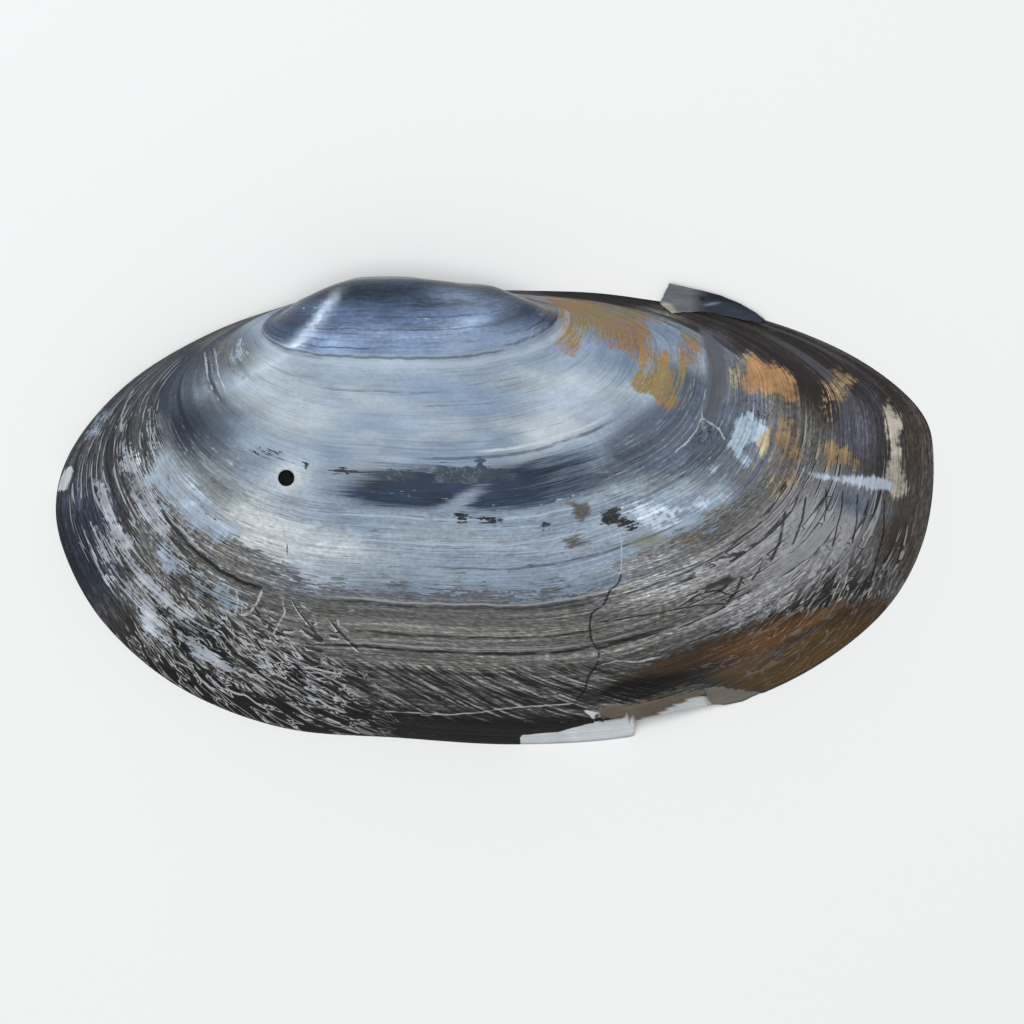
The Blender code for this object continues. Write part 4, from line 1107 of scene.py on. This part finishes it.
# Growth lines that show as drawn lines: stage, half width, from and to around the shell, colour, strength.
drawnLines = (
    # The first two are painted shading of the dome's step: a dark shadow line at its rim and a pale lit line
    # just past it.
    (0.3370, 0.0025, 0.12, 0.62, "umboBack", 0.60), (0.3480, 0.0050, 0.20, 0.80, "milk", 0.50),
    (0.3220, 0.0016, 0.15, 0.42, "umboBack", 0.60), (0.3080, 0.0016, 0.15, 0.36, "umboBack", 0.50),
    (0.3290, 0.0026, 0.60, 0.93, "slate", 0.80), (0.3150, 0.0016, 0.64, 0.93, "slate", 0.60),
    (0.2900, 0.0014, 0.25, 0.80, "umboTop", 0.50), (0.2700, 0.0014, 0.40, 0.90, "umboTop", 0.50),
    (0.3950, 0.0018, 0.33, 0.50, "steel", 0.50), (0.4980, 0.0028, 0.50, 0.66, "chalk", 0.80),
    (0.5080, 0.0030, 0.44, 0.66, "slate", 0.60), (0.6180, 0.0020, 0.36, 0.60, "milk", 0.60),
    (0.6600, 0.0022, 0.34, 0.62, "milk", 0.60), (0.7000, 0.0020, 0.44, 0.64, "slate", 0.55),
    (0.7650, 0.0030, 0.36, 0.590, "skinBlack", 0.65), (0.7720, 0.0022, 0.50, 0.66, "skinBlack", 0.60),
    (0.7590, 0.0016, 0.36, 0.580, "skinPale", 0.80), (0.8330, 0.0016, 0.37, 0.580, "skinPale", 0.70),
    (0.8400, 0.0028, 0.36, 0.590, "skinBlack", 0.90), (0.8130, 0.0020, 0.38, 0.56, "skinBlack", 0.75),
    (0.8750, 0.0035, 0.36, 0.50, "skinBlack", 0.60), (0.8420, 0.0018, 0.60, 0.66, "skinBlack", 0.60),
)

# Hairlines' colour, how much they waver, and the noise below which they break off.
hairlineInks = {"dark": ("skinBlack", 0.55, -0.7), "pale": ("ridgePale", 1.0, -0.4)}

# Outside: skin over bare shell, both streaked along the growth lines.
outsideLook = {
    # swells round the shell and by stage of growth; the specks' are per metre
    "lines": (13, 240, 1), "brushed": (40, 800, 1), "dashes": (90, 240, 1), "grain": (190, 430, 1),
    "strokes": (42, 190, 1), "tangle": (52, 100, 1), "wrinkles": (46, 150, 1), "speck": (1600, 1600, 1600),
    # how far they lean across the growth lines
    "grainLean": 0.30, "strokeLean": 1.55, "tangleLean": 1.15, "wrinkleLean": -0.80,
    # how strongly the streaks shade bare shell and skin, in stops
    "shellShade": 1.4, "skinShade": 2.2, "brownShade": 1.3, "navyShade": 1.2,
    # domeRoughness is added on the beak's dome; heights are in millimetres
    "bareRoughness": 0.46, "skinRoughness": 0.66, "domeRoughness": -0.30,
    "bareCoat": 0.04, "brownCoat": 0.25, "coatRoughness": 0.18, "specular": 0.18,
    "lineHeight": 0.040, "brushedHeight": 0.022, "dashHeight": 0.030,
}

outsideMaterial, n = newMaterial("shell_outside")
growth = n.node("ShaderNodeUVMap", uv_map="growth").outputs[0]
solid = n.node("ShaderNodeTexCoord").outputs["Object"]
growthParts = n.node("ShaderNodeSeparateXYZ", {0: growth})
aroundSocket, stageSocket = growthParts.outputs[0], growthParts.outputs[1]


# growth coordinates leaning by a slope, for strokes that cross the growth lines
def sheared(slope):
    skew = n.math("MULTIPLY_ADD", aroundSocket, -slope, stageSocket)
    return n.node("ShaderNodeCombineXYZ", {0: aroundSocket, 1: skew}).outputs[0]


bands, cloud, wobble = n.attribute("bands"), n.attribute("cloud"), n.attribute("wobble")
lines = n.streaks(growth, outsideLook["lines"], 2.0, 0.65)
brushed = n.streaks(growth, outsideLook["brushed"])
dashes = n.streaks(growth, outsideLook["dashes"], 2.0)
speck = n.streaks(solid, outsideLook["speck"])
grain = n.streaks(sheared(outsideLook["grainLean"]), outsideLook["grain"])
streak = n.attribute("streak")

cover = n.attribute("skinCover")
ragged = n.total(cover, (1.4, dashes), (1.6, lines), (0.6, speck), (0.9, bands), (0.5, wobble))
skinMask = n.rise(ragged, -0.12, 0.12)

# folds: painted shade in the creases where the noise crosses nought, with a painted highlight on a ridge
# beside each
dashed = n.rise(dashes, -0.3, 0.1)
strokes = n.streaks(sheared(outsideLook["strokeLean"]), outsideLook["strokes"], 1.0, 0.5)
bellyPlace = n.attribute("bellyStrokes")
creaseShade = n.product(n.rise(strokes, 0.02, -0.18), bellyPlace, 0.85)
crestHighlight = n.product(n.rise(strokes, 0.14, 0.34), bellyPlace, dashed, 0.65)
tangle = n.streaks(sheared(outsideLook["tangleLean"]), outsideLook["tangle"], 1.0, 0.5)
tangle = n.total(tangle, (0.25, wobble))
frontPlace = n.attribute("frontTangle")
creaseShade = n.most(creaseShade, n.product(n.rise(tangle, 0.0, -0.14), frontPlace, 0.8))
wrinkles = n.streaks(sheared(outsideLook["wrinkleLean"]), outsideLook["wrinkles"], 1.0, 0.5)
wrinkles = n.total(wrinkles, (0.25, wobble))
lowPlace = n.attribute("lowWrinkles")
creaseShade = n.most(creaseShade, n.product(n.rise(wrinkles, 0.0, -0.16), lowPlace, 0.80))
crestHighlight = n.most(crestHighlight, n.product(n.line(wrinkles, 0.05, 0.10), lowPlace, dashed, 0.80))
ridges = n.most(n.line(tangle, 0.035, 0.05), n.line(tangle, 0.03, 0.20))
frontGaps = n.rise(n.total(dashes, (0.6, wobble)), -0.35, 0.0)
crestHighlight = n.most(crestHighlight, n.product(ridges, frontGaps, frontPlace))

# strewn strokes, each with a painted shaded side and a painted lit side, fainter on the brown tongue
brownEdge = n.total(n.attribute("brownDepth"), (1.6, lines), (1.4, dashes), (0.5, speck))
brownMask = n.rise(brownEdge, -0.10, 0.25)
side = n.total(n.attribute("strokeSide"), (0.6, wobble), (0.6, dashes))
strokeGaps = n.rise(dashes, -0.5, 0.0)
creaseShade = n.most(creaseShade, n.product(n.line(side, 1.0), n.attribute("strokeShade")))
crestHighlight = n.most(crestHighlight, n.product(n.line(side, 0.9, 2.0), n.attribute("strokeLight"), strokeGaps))
crestHighlight = n.math("MULTIPLY", crestHighlight, n.math("MULTIPLY_ADD", brownMask, -0.70, 1.0))
cracks = n.line(n.total(dashes, (0.9, wobble), (0.4, speck)), 0.10, 0.12)
net = n.product(cracks, n.attribute("netPlaces"), 0.9)

# bare shell: streaks make its colour up to about 2.5 times darker or lighter
shade = n.total((0.7, bands), (1.1, lines), (0.8, brushed), (0.5, speck))
shellColour = n.attribute("shellPaint", True)
bodyPlace = n.attribute("bodyPlace")
dome = n.rise(stageSocket, 0.325, 0.340, 1.0, 0.0)
offDome = n.less(1.0, dome)
stops = n.product(shade, streak, outsideLook["shellShade"])
stops = n.total(stops, (0.34, cloud), (0.45, n.math("MULTIPLY", dome, bands)))
hue = n.total(n.attribute("hue"), (0.5, lines), (0.3, bands))
shellColour = n.laid(shellColour, "cream", n.product(n.rise(hue, 0.05, 0.7), bodyPlace, 0.42))
shellColour = n.laid(shellColour, "hazeBlue", n.product(n.rise(hue, -0.05, -0.7), bodyPlace, 0.42))
shellColour = n.lit(shellColour, stops)
navy = n.rise(n.total(n.attribute("navyBand"), (0.6, lines), (0.4, bands), (0.4, brushed)), 0.02, 0.85)
navyColour = n.lit(rgba("navy"), n.total((outsideLook["navyShade"], shade), (1.0, cloud)))
shellColour = n.mix(navy, shellColour, navyColour)

# threads, gleams and mottles on the bare shell outside the beak and the navy band
sound = n.product(n.rise(streak, 0.45, 0.7), n.rise(navy, 0.3, 0.8, 1.0, 0.15), offDome)
thread = n.product(n.line(lines, 0.035), n.rise(dashes, -0.1, 0.25), sound)
gleam = n.product(n.line(lines, 0.035, 0.13), n.rise(dashes, -0.1, 0.2), sound)
mottled = n.rise(n.total(cloud, (0.5, bands), (0.3, dashes)), 0.10, 0.55)
shellColour = n.laid(shellColour, "slate", n.math("MULTIPLY", thread, 0.7))
shellColour = n.laid(shellColour, "pearl", n.math("MULTIPLY", gleam, 0.55))
shellColour = n.laid(shellColour, "mottle", n.product(mottled, sound, 0.32))

# iron stain, from ochre through moss to rust, with veins of bare shell in it
stainCover = n.attribute("stainCover")
stainNoise = n.total((1.3, dashes), (0.8, cloud), (2.0, lines), (1.0, bands), (1.2, brushed))
stainNoise = n.math("MULTIPLY", stainNoise, n.rise(stainCover, 0.0, 0.45))
stainDepth = n.total(stainCover, (1.0, stainNoise))
rustColour = n.mix(n.rise(cloud, -0.1, 0.5), rgba("ochre"), rgba("rust"))
rustColour = n.laid(rustColour, "moss", n.rise(n.total(hue, (0.6, lines)), 0.0, 0.6, 0.0, 0.8))
vein = n.product(n.line(n.total(lines, (0.4, bands), (0.3, dashes)), 0.06, -0.10), 0.45)
bareVein = n.product(vein, n.rise(stainDepth, 0.42, 1.0))
stainMask = n.less(n.rise(stainDepth, 0.42, 1.0, 0.0, 0.92), bareVein)
stainMask = n.product(stainMask, n.rise(dome, 0.0, 1.0, 1.0, 0.15))
shellColour = n.mix(stainMask, shellColour, n.lit(rustColour, stops))

# skin, with its folds' painted shade and painted highlights, and the brown tongue over it
skinShade = n.total(shade, (1.2, grain), (0.5, dashes), (-0.4, brushed))
skinColour = n.lit(n.attribute("skinPaint", True), n.product(skinShade, streak, outsideLook["skinShade"]))
thread = n.product(n.line(lines, 0.04), n.rise(dashes, -0.15, 0.2), n.rise(streak, 0.3, 0.8))
skinColour = n.laid(skinColour, "skinBlack", n.math("MULTIPLY", thread, 0.7))
dorsal, broad = n.attribute("dorsal"), n.total(n.attribute("broad"), (0.3, lines))
skinColour = n.laid(skinColour, "wedge", n.product(n.rise(broad, 0.10, 0.35), dorsal, 0.6))
skinColour = n.laid(skinColour, "umber", n.product(n.rise(broad, -0.10, -0.35), dorsal, 0.8))
# painted shade in the creases of the folds and strokes
skinColour = n.laid(skinColour, "skinBlack", creaseShade)
brownShade = n.math("MULTIPLY", shade, outsideLook["brownShade"])
brownColour = n.lit(n.attribute("brownPaint", True), brownShade)
skinColour = n.mix(n.math("MULTIPLY", brownMask, 0.93), skinColour, brownColour)
# painted highlight on the fold ridges and on the strokes' lit side
skinColour = n.laid(skinColour, "ridgePale", crestHighlight)

# skin over shell, its pale curled edge, the nets of cracks and the drawn growth lines
curl = n.product(n.line(ragged, 0.10, 0.16), n.rise(dashes, 0.0, 0.3), offDome)
colour = n.mix(skinMask, shellColour, skinColour)
colour = n.laid(colour, "flake", n.math("MULTIPLY", curl, 0.5))
colour = n.laid(colour, "cleft", net)
meander = n.attribute("meander")
gaps = n.total(dashes, (0.5, wobble))
broken = n.rise(gaps, -0.7, 0.0)
for at, halfWidth, low, high, name, strength in drawnLines:
    begun, ended = n.rise(aroundSocket, low, low + 0.03), n.rise(aroundSocket, high - 0.03, high, 1.0, 0.0)
    along = n.math("MULTIPLY", begun, ended)
    colour = n.laid(colour, name, n.product(n.line(meander, halfWidth, at), along, broken, strength))

# marks: ragged at the edge and worn thin inside, the crusts finely cracked
markRagged = n.attribute("markRagged")
markNoise = n.total((2.6, dashes), (1.6, speck), (1.8, wobble), (3.0, lines), (1.6, brushed))
markDepth = n.math("ADD", n.attribute("markDepth"), n.product(markNoise, markRagged))
markMask = n.rise(markDepth, -0.04, n.math("ADD", n.attribute("markFade"), 0.06))
faint = n.rise(n.total(shade, (1.0, speck), (0.6, wobble)), -0.60, -0.35)
worn = n.mix(n.rise(markRagged, 0.15, 0.5), (1.0, 1.0, 1.0, 1.0), faint)
markShade = n.total(shade, (0.8, cloud), (0.6, wobble))
markShade = n.product(markShade, n.rise(markRagged, 0.10, 0.35, 0.25, 0.9))
markColour = n.lit(n.attribute("markPaint", True), markShade)
crackle = n.product(n.line(n.total(speck, (0.8, wobble)), 0.07, 0.25), n.attribute("markCrust"), 0.25)
markColour = n.laid(markColour, "mist", crackle)
colour = n.mix(n.math("MULTIPLY", markMask, worn), colour, markColour)

# hairlines, which waver and break up
for family, (name, waver, gap) in hairlineInks.items():
    side = n.total(n.attribute(family + "Side"),
        (1.1 * waver, wobble), (0.9 * waver, speck), (0.9 * waver, dashes))
    reach = n.rise(n.attribute(family + "Reach"), 0.02, 0.30)
    mask = n.product(n.line(side, 1.0), reach, n.rise(gaps, gap, gap + 0.6), 0.85)
    colour = n.laid(colour, name, mask)

height = n.total((outsideLook["lineHeight"], lines), (outsideLook["brushedHeight"], brushed),
    (outsideLook["dashHeight"], dashes))
height = n.math("MULTIPLY", height, n.rise(streak, 0.2, 1.0, 0.25, 1.0))
bump = n.bumped(height)
bare = n.less(1.0, skinMask)
coat = n.total((outsideLook["bareCoat"], bare), (outsideLook["brownCoat"], n.attribute("gloss")))
roughness = n.rise(skinMask, 0.0, 1.0, outsideLook["bareRoughness"], outsideLook["skinRoughness"])
roughness = n.total(roughness, (0.12, speck), (outsideLook["domeRoughness"], dome))
setSurface(
    outsideMaterial, {"Base Color": colour, "Roughness": roughness, "Coat Weight": coat, "Normal": bump},
    {"Specular IOR Level": outsideLook["specular"], "Coat Roughness": outsideLook["coatRoughness"]},
)

# Lining: mother of pearl, with a dull rim past the mantle's line and scars where the muscles held.
liningLook = {
    "rings": (6, 90, 1), "sheen": (45, 45, 45), "ringShade": 0.35,
    "ringHeight": 0.03, "scarDepth": 0.15, "rimHeight": 0.05,  # millimetres
    "roughness": 0.22, "rimRoughness": 0.5, "coat": 0.35, "coatRoughness": 0.12,
}

liningMaterial, n = newMaterial("shell_lining")
growth = n.node("ShaderNodeUVMap", uv_map="growth").outputs[0]
solid = n.node("ShaderNodeTexCoord").outputs["Object"]
rings = n.streaks(growth, liningLook["rings"], 2.0)
sheen = n.streaks(solid, liningLook["sheen"], 2.0, 0.5, 0.8)
scars, rimPlace = n.attribute("scars"), n.attribute("rimPlace")
nacre = n.mix(n.rise(sheen, -0.3, 0.0), rgba("nacreBlue"), rgba("nacre"))
nacre = n.laid(nacre, "nacreRose", n.rise(sheen, 0.05, 0.35))
nacre = n.laid(nacre, "nacreGreen", n.rise(n.math("ADD", sheen, rings), 0.35, 0.6, 0.0, 0.7))
nacre = n.lit(nacre, n.math("MULTIPLY", rings, liningLook["ringShade"]))
nacre = n.laid(nacre, "scar", n.math("MULTIPLY", scars, 0.6))
nacre = n.laid(nacre, "rimHorn", n.math("MULTIPLY", rimPlace, 0.75))
liningHeight = n.total((liningLook["ringHeight"], rings), (-liningLook["scarDepth"], scars),
    (liningLook["rimHeight"], rimPlace))
bump = n.bumped(liningHeight)
liningRoughness = n.rise(rimPlace, 0.0, 1.0, liningLook["roughness"], liningLook["rimRoughness"])
liningRoughness = n.total(liningRoughness, (0.05, rings), (0.12, scars))
setSurface(
    liningMaterial, {"Base Color": nacre, "Roughness": liningRoughness, "Normal": bump},
    {"Coat Weight": liningLook["coat"], "Coat Roughness": liningLook["coatRoughness"]},
)
mesh.materials.append(outsideMaterial)
mesh.materials.append(liningMaterial)

# The torn wing: a thin slip of shell that still lies on the slope behind the beak.
wing = {
    "outer": (
        (40.9, 0.95), (43.7, 0.3), (45.1, 0.0), (47.8, -0.7), (50.5, -1.8), (52.6, -3.0), (53.9, -4.0),
    ),
    "inner": (
        (39.6, -1.8), (40.5, -2.6), (41.3, -3.2), (43.0, -3.0), (45.1, -2.9), (47.1, -3.2), (49.1, -3.7),
        (53.4, -4.5),
    ),
    # in millimetres: the outer edge's height and thickness, and how far the rest stands over the slope
    # and sinks into it
    "outerHeight": 0.85, "outerThickness": 0.45, "innerLift": 0.42, "sink": 0.3,
    "bulge": 0.12, "frayed": 0.10, "columns": 90, "rows": 24,
    "fibres": (300, 2400, 600), "fibreShade": 0.8, "roughness": 0.6, "specular": 0.08,
}


# Height of the valve's outside at places near the hinge: read from the vertices nearest them.
def slopeHeight(at):
    near = (np.abs(x - 47.0) < 12.0) & (y > -9.0) & (sides == 0)
    height = []
    for row in at:
        apart = (x[near][None, :] - row[:, :1]) ** 2 + (y[near][None, :] - row[:, 1:]) ** 2
        weight = 1.0 / (apart + 0.02) ** 2
        height.append((weight * points[near, 2][None, :] * 1000.0).sum(axis=1) / weight.sum(axis=1))
    return np.array(height)


# Evenly: points of a line at even shares of its length.
def evenly(line, count):
    line = np.array(line)
    run = np.concatenate([[0.0], np.cumsum(np.hypot(*np.diff(line, axis=0).T))])
    return np.stack([np.interp(np.linspace(0, run[-1], count), run, line[:, k]) for k in (0, 1)], axis=-1)


# Wing: each column runs from the outer edge to the inner one, and rises with the slope under it.
def wingGrids():
    v = np.linspace(0.0, 1.0, wing["rows"])[:, None]
    u = np.linspace(0.0, 1.0, wing["columns"])[None, :]
    outerEdge, innerEdge = evenly(wing["outer"], wing["columns"]), evenly(wing["inner"], wing["columns"])
    plan = outerEdge[None] + (innerEdge - outerEdge)[None] * v[..., None]
    frontFray = rough(u * 3, v * 9, 5) * rise(u, 0.12, 0.0)
    innerFray = rough(u * 34, v * 2, 8) * rise(v, 0.8, 1.0)
    plan = plan + wing["frayed"] * np.stack([frontFray, innerFray], axis=-1)
    under = slopeHeight(plan)
    low, high = wing["outerHeight"] - wing["outerThickness"], wing["outerHeight"]
    top = np.maximum(high + wing["bulge"] * np.sin(math.pi * u), under + wing["innerLift"])
    top = top + 0.05 * rough(u * 9, v * 3, 77) + 0.03 * rough(u * 12, v * 30, 78)
    bottom = np.maximum(low, under - wing["sink"])
    grid = lambda height: np.concatenate([plan, height[..., None]], axis=-1)
    return grid(top), grid(bottom)


top, bottom = wingGrids()
rows, columns = top.shape[:2]
index = np.arange(rows * columns).reshape(rows, columns)
quads = np.stack([index[:-1, :-1], index[1:, :-1], index[1:, 1:], index[:-1, 1:]], axis=-1).reshape(-1, 4)
edgeLoop = np.concatenate([index[0, :-1], index[:-1, -1], index[-1, :0:-1], index[:0:-1, 0]])
after = np.roll(edgeLoop, -1)
wingFaces = np.concatenate([quads, quads[:, ::-1] + rows * columns,
    np.stack([edgeLoop, after, after + rows * columns, edgeLoop + rows * columns], axis=-1)])
wingPoints = np.concatenate([top.reshape(-1, 3), bottom.reshape(-1, 3)])
smooth = np.arange(len(wingFaces)) < 2 * len(quads)  # the edge round the flap stays sharp
wingFlap = addPiece("wing_flap", (wingPoints + place) / 1000.0, wingFaces.tolist(), smooth)
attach(wingFlap, "root")
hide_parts("valve")

wx, wy = wingPoints[:, 0], wingPoints[:, 1]
wingPaint = mixed(np.broadcast_to(tone("wingGrey"), (len(wx), 3)), "wingBlue", 0.95 * rise(wx, 43.5, 46.5))
shaded = window(wx, 44.5, 54.0, 1.0) * rise(wy + 0.32 * (wx - 44.0), 0.2, -1.0)
wingPaint = mixed(wingPaint, "skinSlate", 0.45 * shaded)
wingPaint = mixed(wingPaint, "cleft", patch(wx, wy, (45.4, -1.2), (0.8, 0.5), -20))
wingPaint = mixed(wingPaint, "flake", 0.5 * patch(wx, wy, (46.6, -1.9), (1.8, 0.30), 10))
whiteTip = np.minimum(2.2 * patch(wx, wy, (40.6, -2.6), (1.9, 1.1), -35), 1.0)
wingPaint = mixed(wingPaint, "tailWhite", whiteTip)
addAttribute(wingFlap.data, "wingPaint", wingPaint)
wingMaterial, n = newMaterial("wing_skin")
solid = n.node("ShaderNodeTexCoord").outputs["Object"]
fibres = n.streaks(solid, wing["fibres"], 3.0)
grey = n.lit(n.attribute("wingPaint", True), n.math("MULTIPLY", fibres, wing["fibreShade"]))
wingLook = {"Roughness": wing["roughness"], "Specular IOR Level": wing["specular"]}
setSurface(wingMaterial, {"Base Color": grey}, wingLook)
wingFlap.data.materials.append(wingMaterial)
print("materials made")

# Floor, world, lights and camera.
reach = studio["floorReach"]
corners = [(-reach, -reach, 0.0), (reach, -reach, 0.0), (reach, reach, 0.0), (-reach, reach, 0.0)]
floor = addPiece("floor", corners, [(0, 1, 2, 3)], [False])
floorMaterial, n = newMaterial("floor_paper")
setSurface(floorMaterial, {}, {"Base Color": studio["floorColour"], "Roughness": studio["floorRoughness"]})
floor.data.materials.append(floorMaterial)

world = bpy.data.worlds.new("studio")
world.use_nodes = True
background = world.node_tree.nodes["Background"].inputs
background["Color"].default_value = studio["worldColour"]
background["Strength"].default_value = studio["worldStrength"]
bpy.context.scene.world = world


# Area light whose long side runs from start to end, turned so that it looks at the aim.
def addLight(name, start, end, aim, width, watts, glossOnly=False, colour=(1.0, 1.0, 1.0)):
    start, end, aim = (Vector(at) for at in (start, end, aim))
    light = bpy.data.lights.new(name, "AREA")
    light.shape = "RECTANGLE"
    light.size, light.size_y = width, (end - start).length
    light.energy, light.color = watts, colour
    lamp = bpy.data.objects.new(name, light)
    bpy.context.scene.collection.objects.link(lamp)
    long = (end - start).normalized()
    back = ((start + end) / 2 - aim).normalized()
    side = long.cross(back).normalized()
    lamp.matrix_world = Matrix((side, long, side.cross(long))).transposed().to_4x4()
    lamp.location = (start + end) / 2
    lamp.visible_diffuse = not glossOnly


for name, light in studio["lights"].items():
    addLight(name, **light)

camera = bpy.data.cameras.new("camera")
camera.sensor_width = 36.0
camera.lens = camera.sensor_width * studio["cameraHeight"] / studio["viewWidth"]
camera.clip_end = 10.0
eye = bpy.data.objects.new("camera", camera)
eye.location = (*studio["viewCentre"], studio["cameraHeight"])
bpy.context.scene.collection.objects.link(eye)
bpy.context.scene.camera = eye
bpy.context.scene.view_settings.view_transform = "Standard"
bpy.context.scene.view_settings.look = "None"
print("stage set")
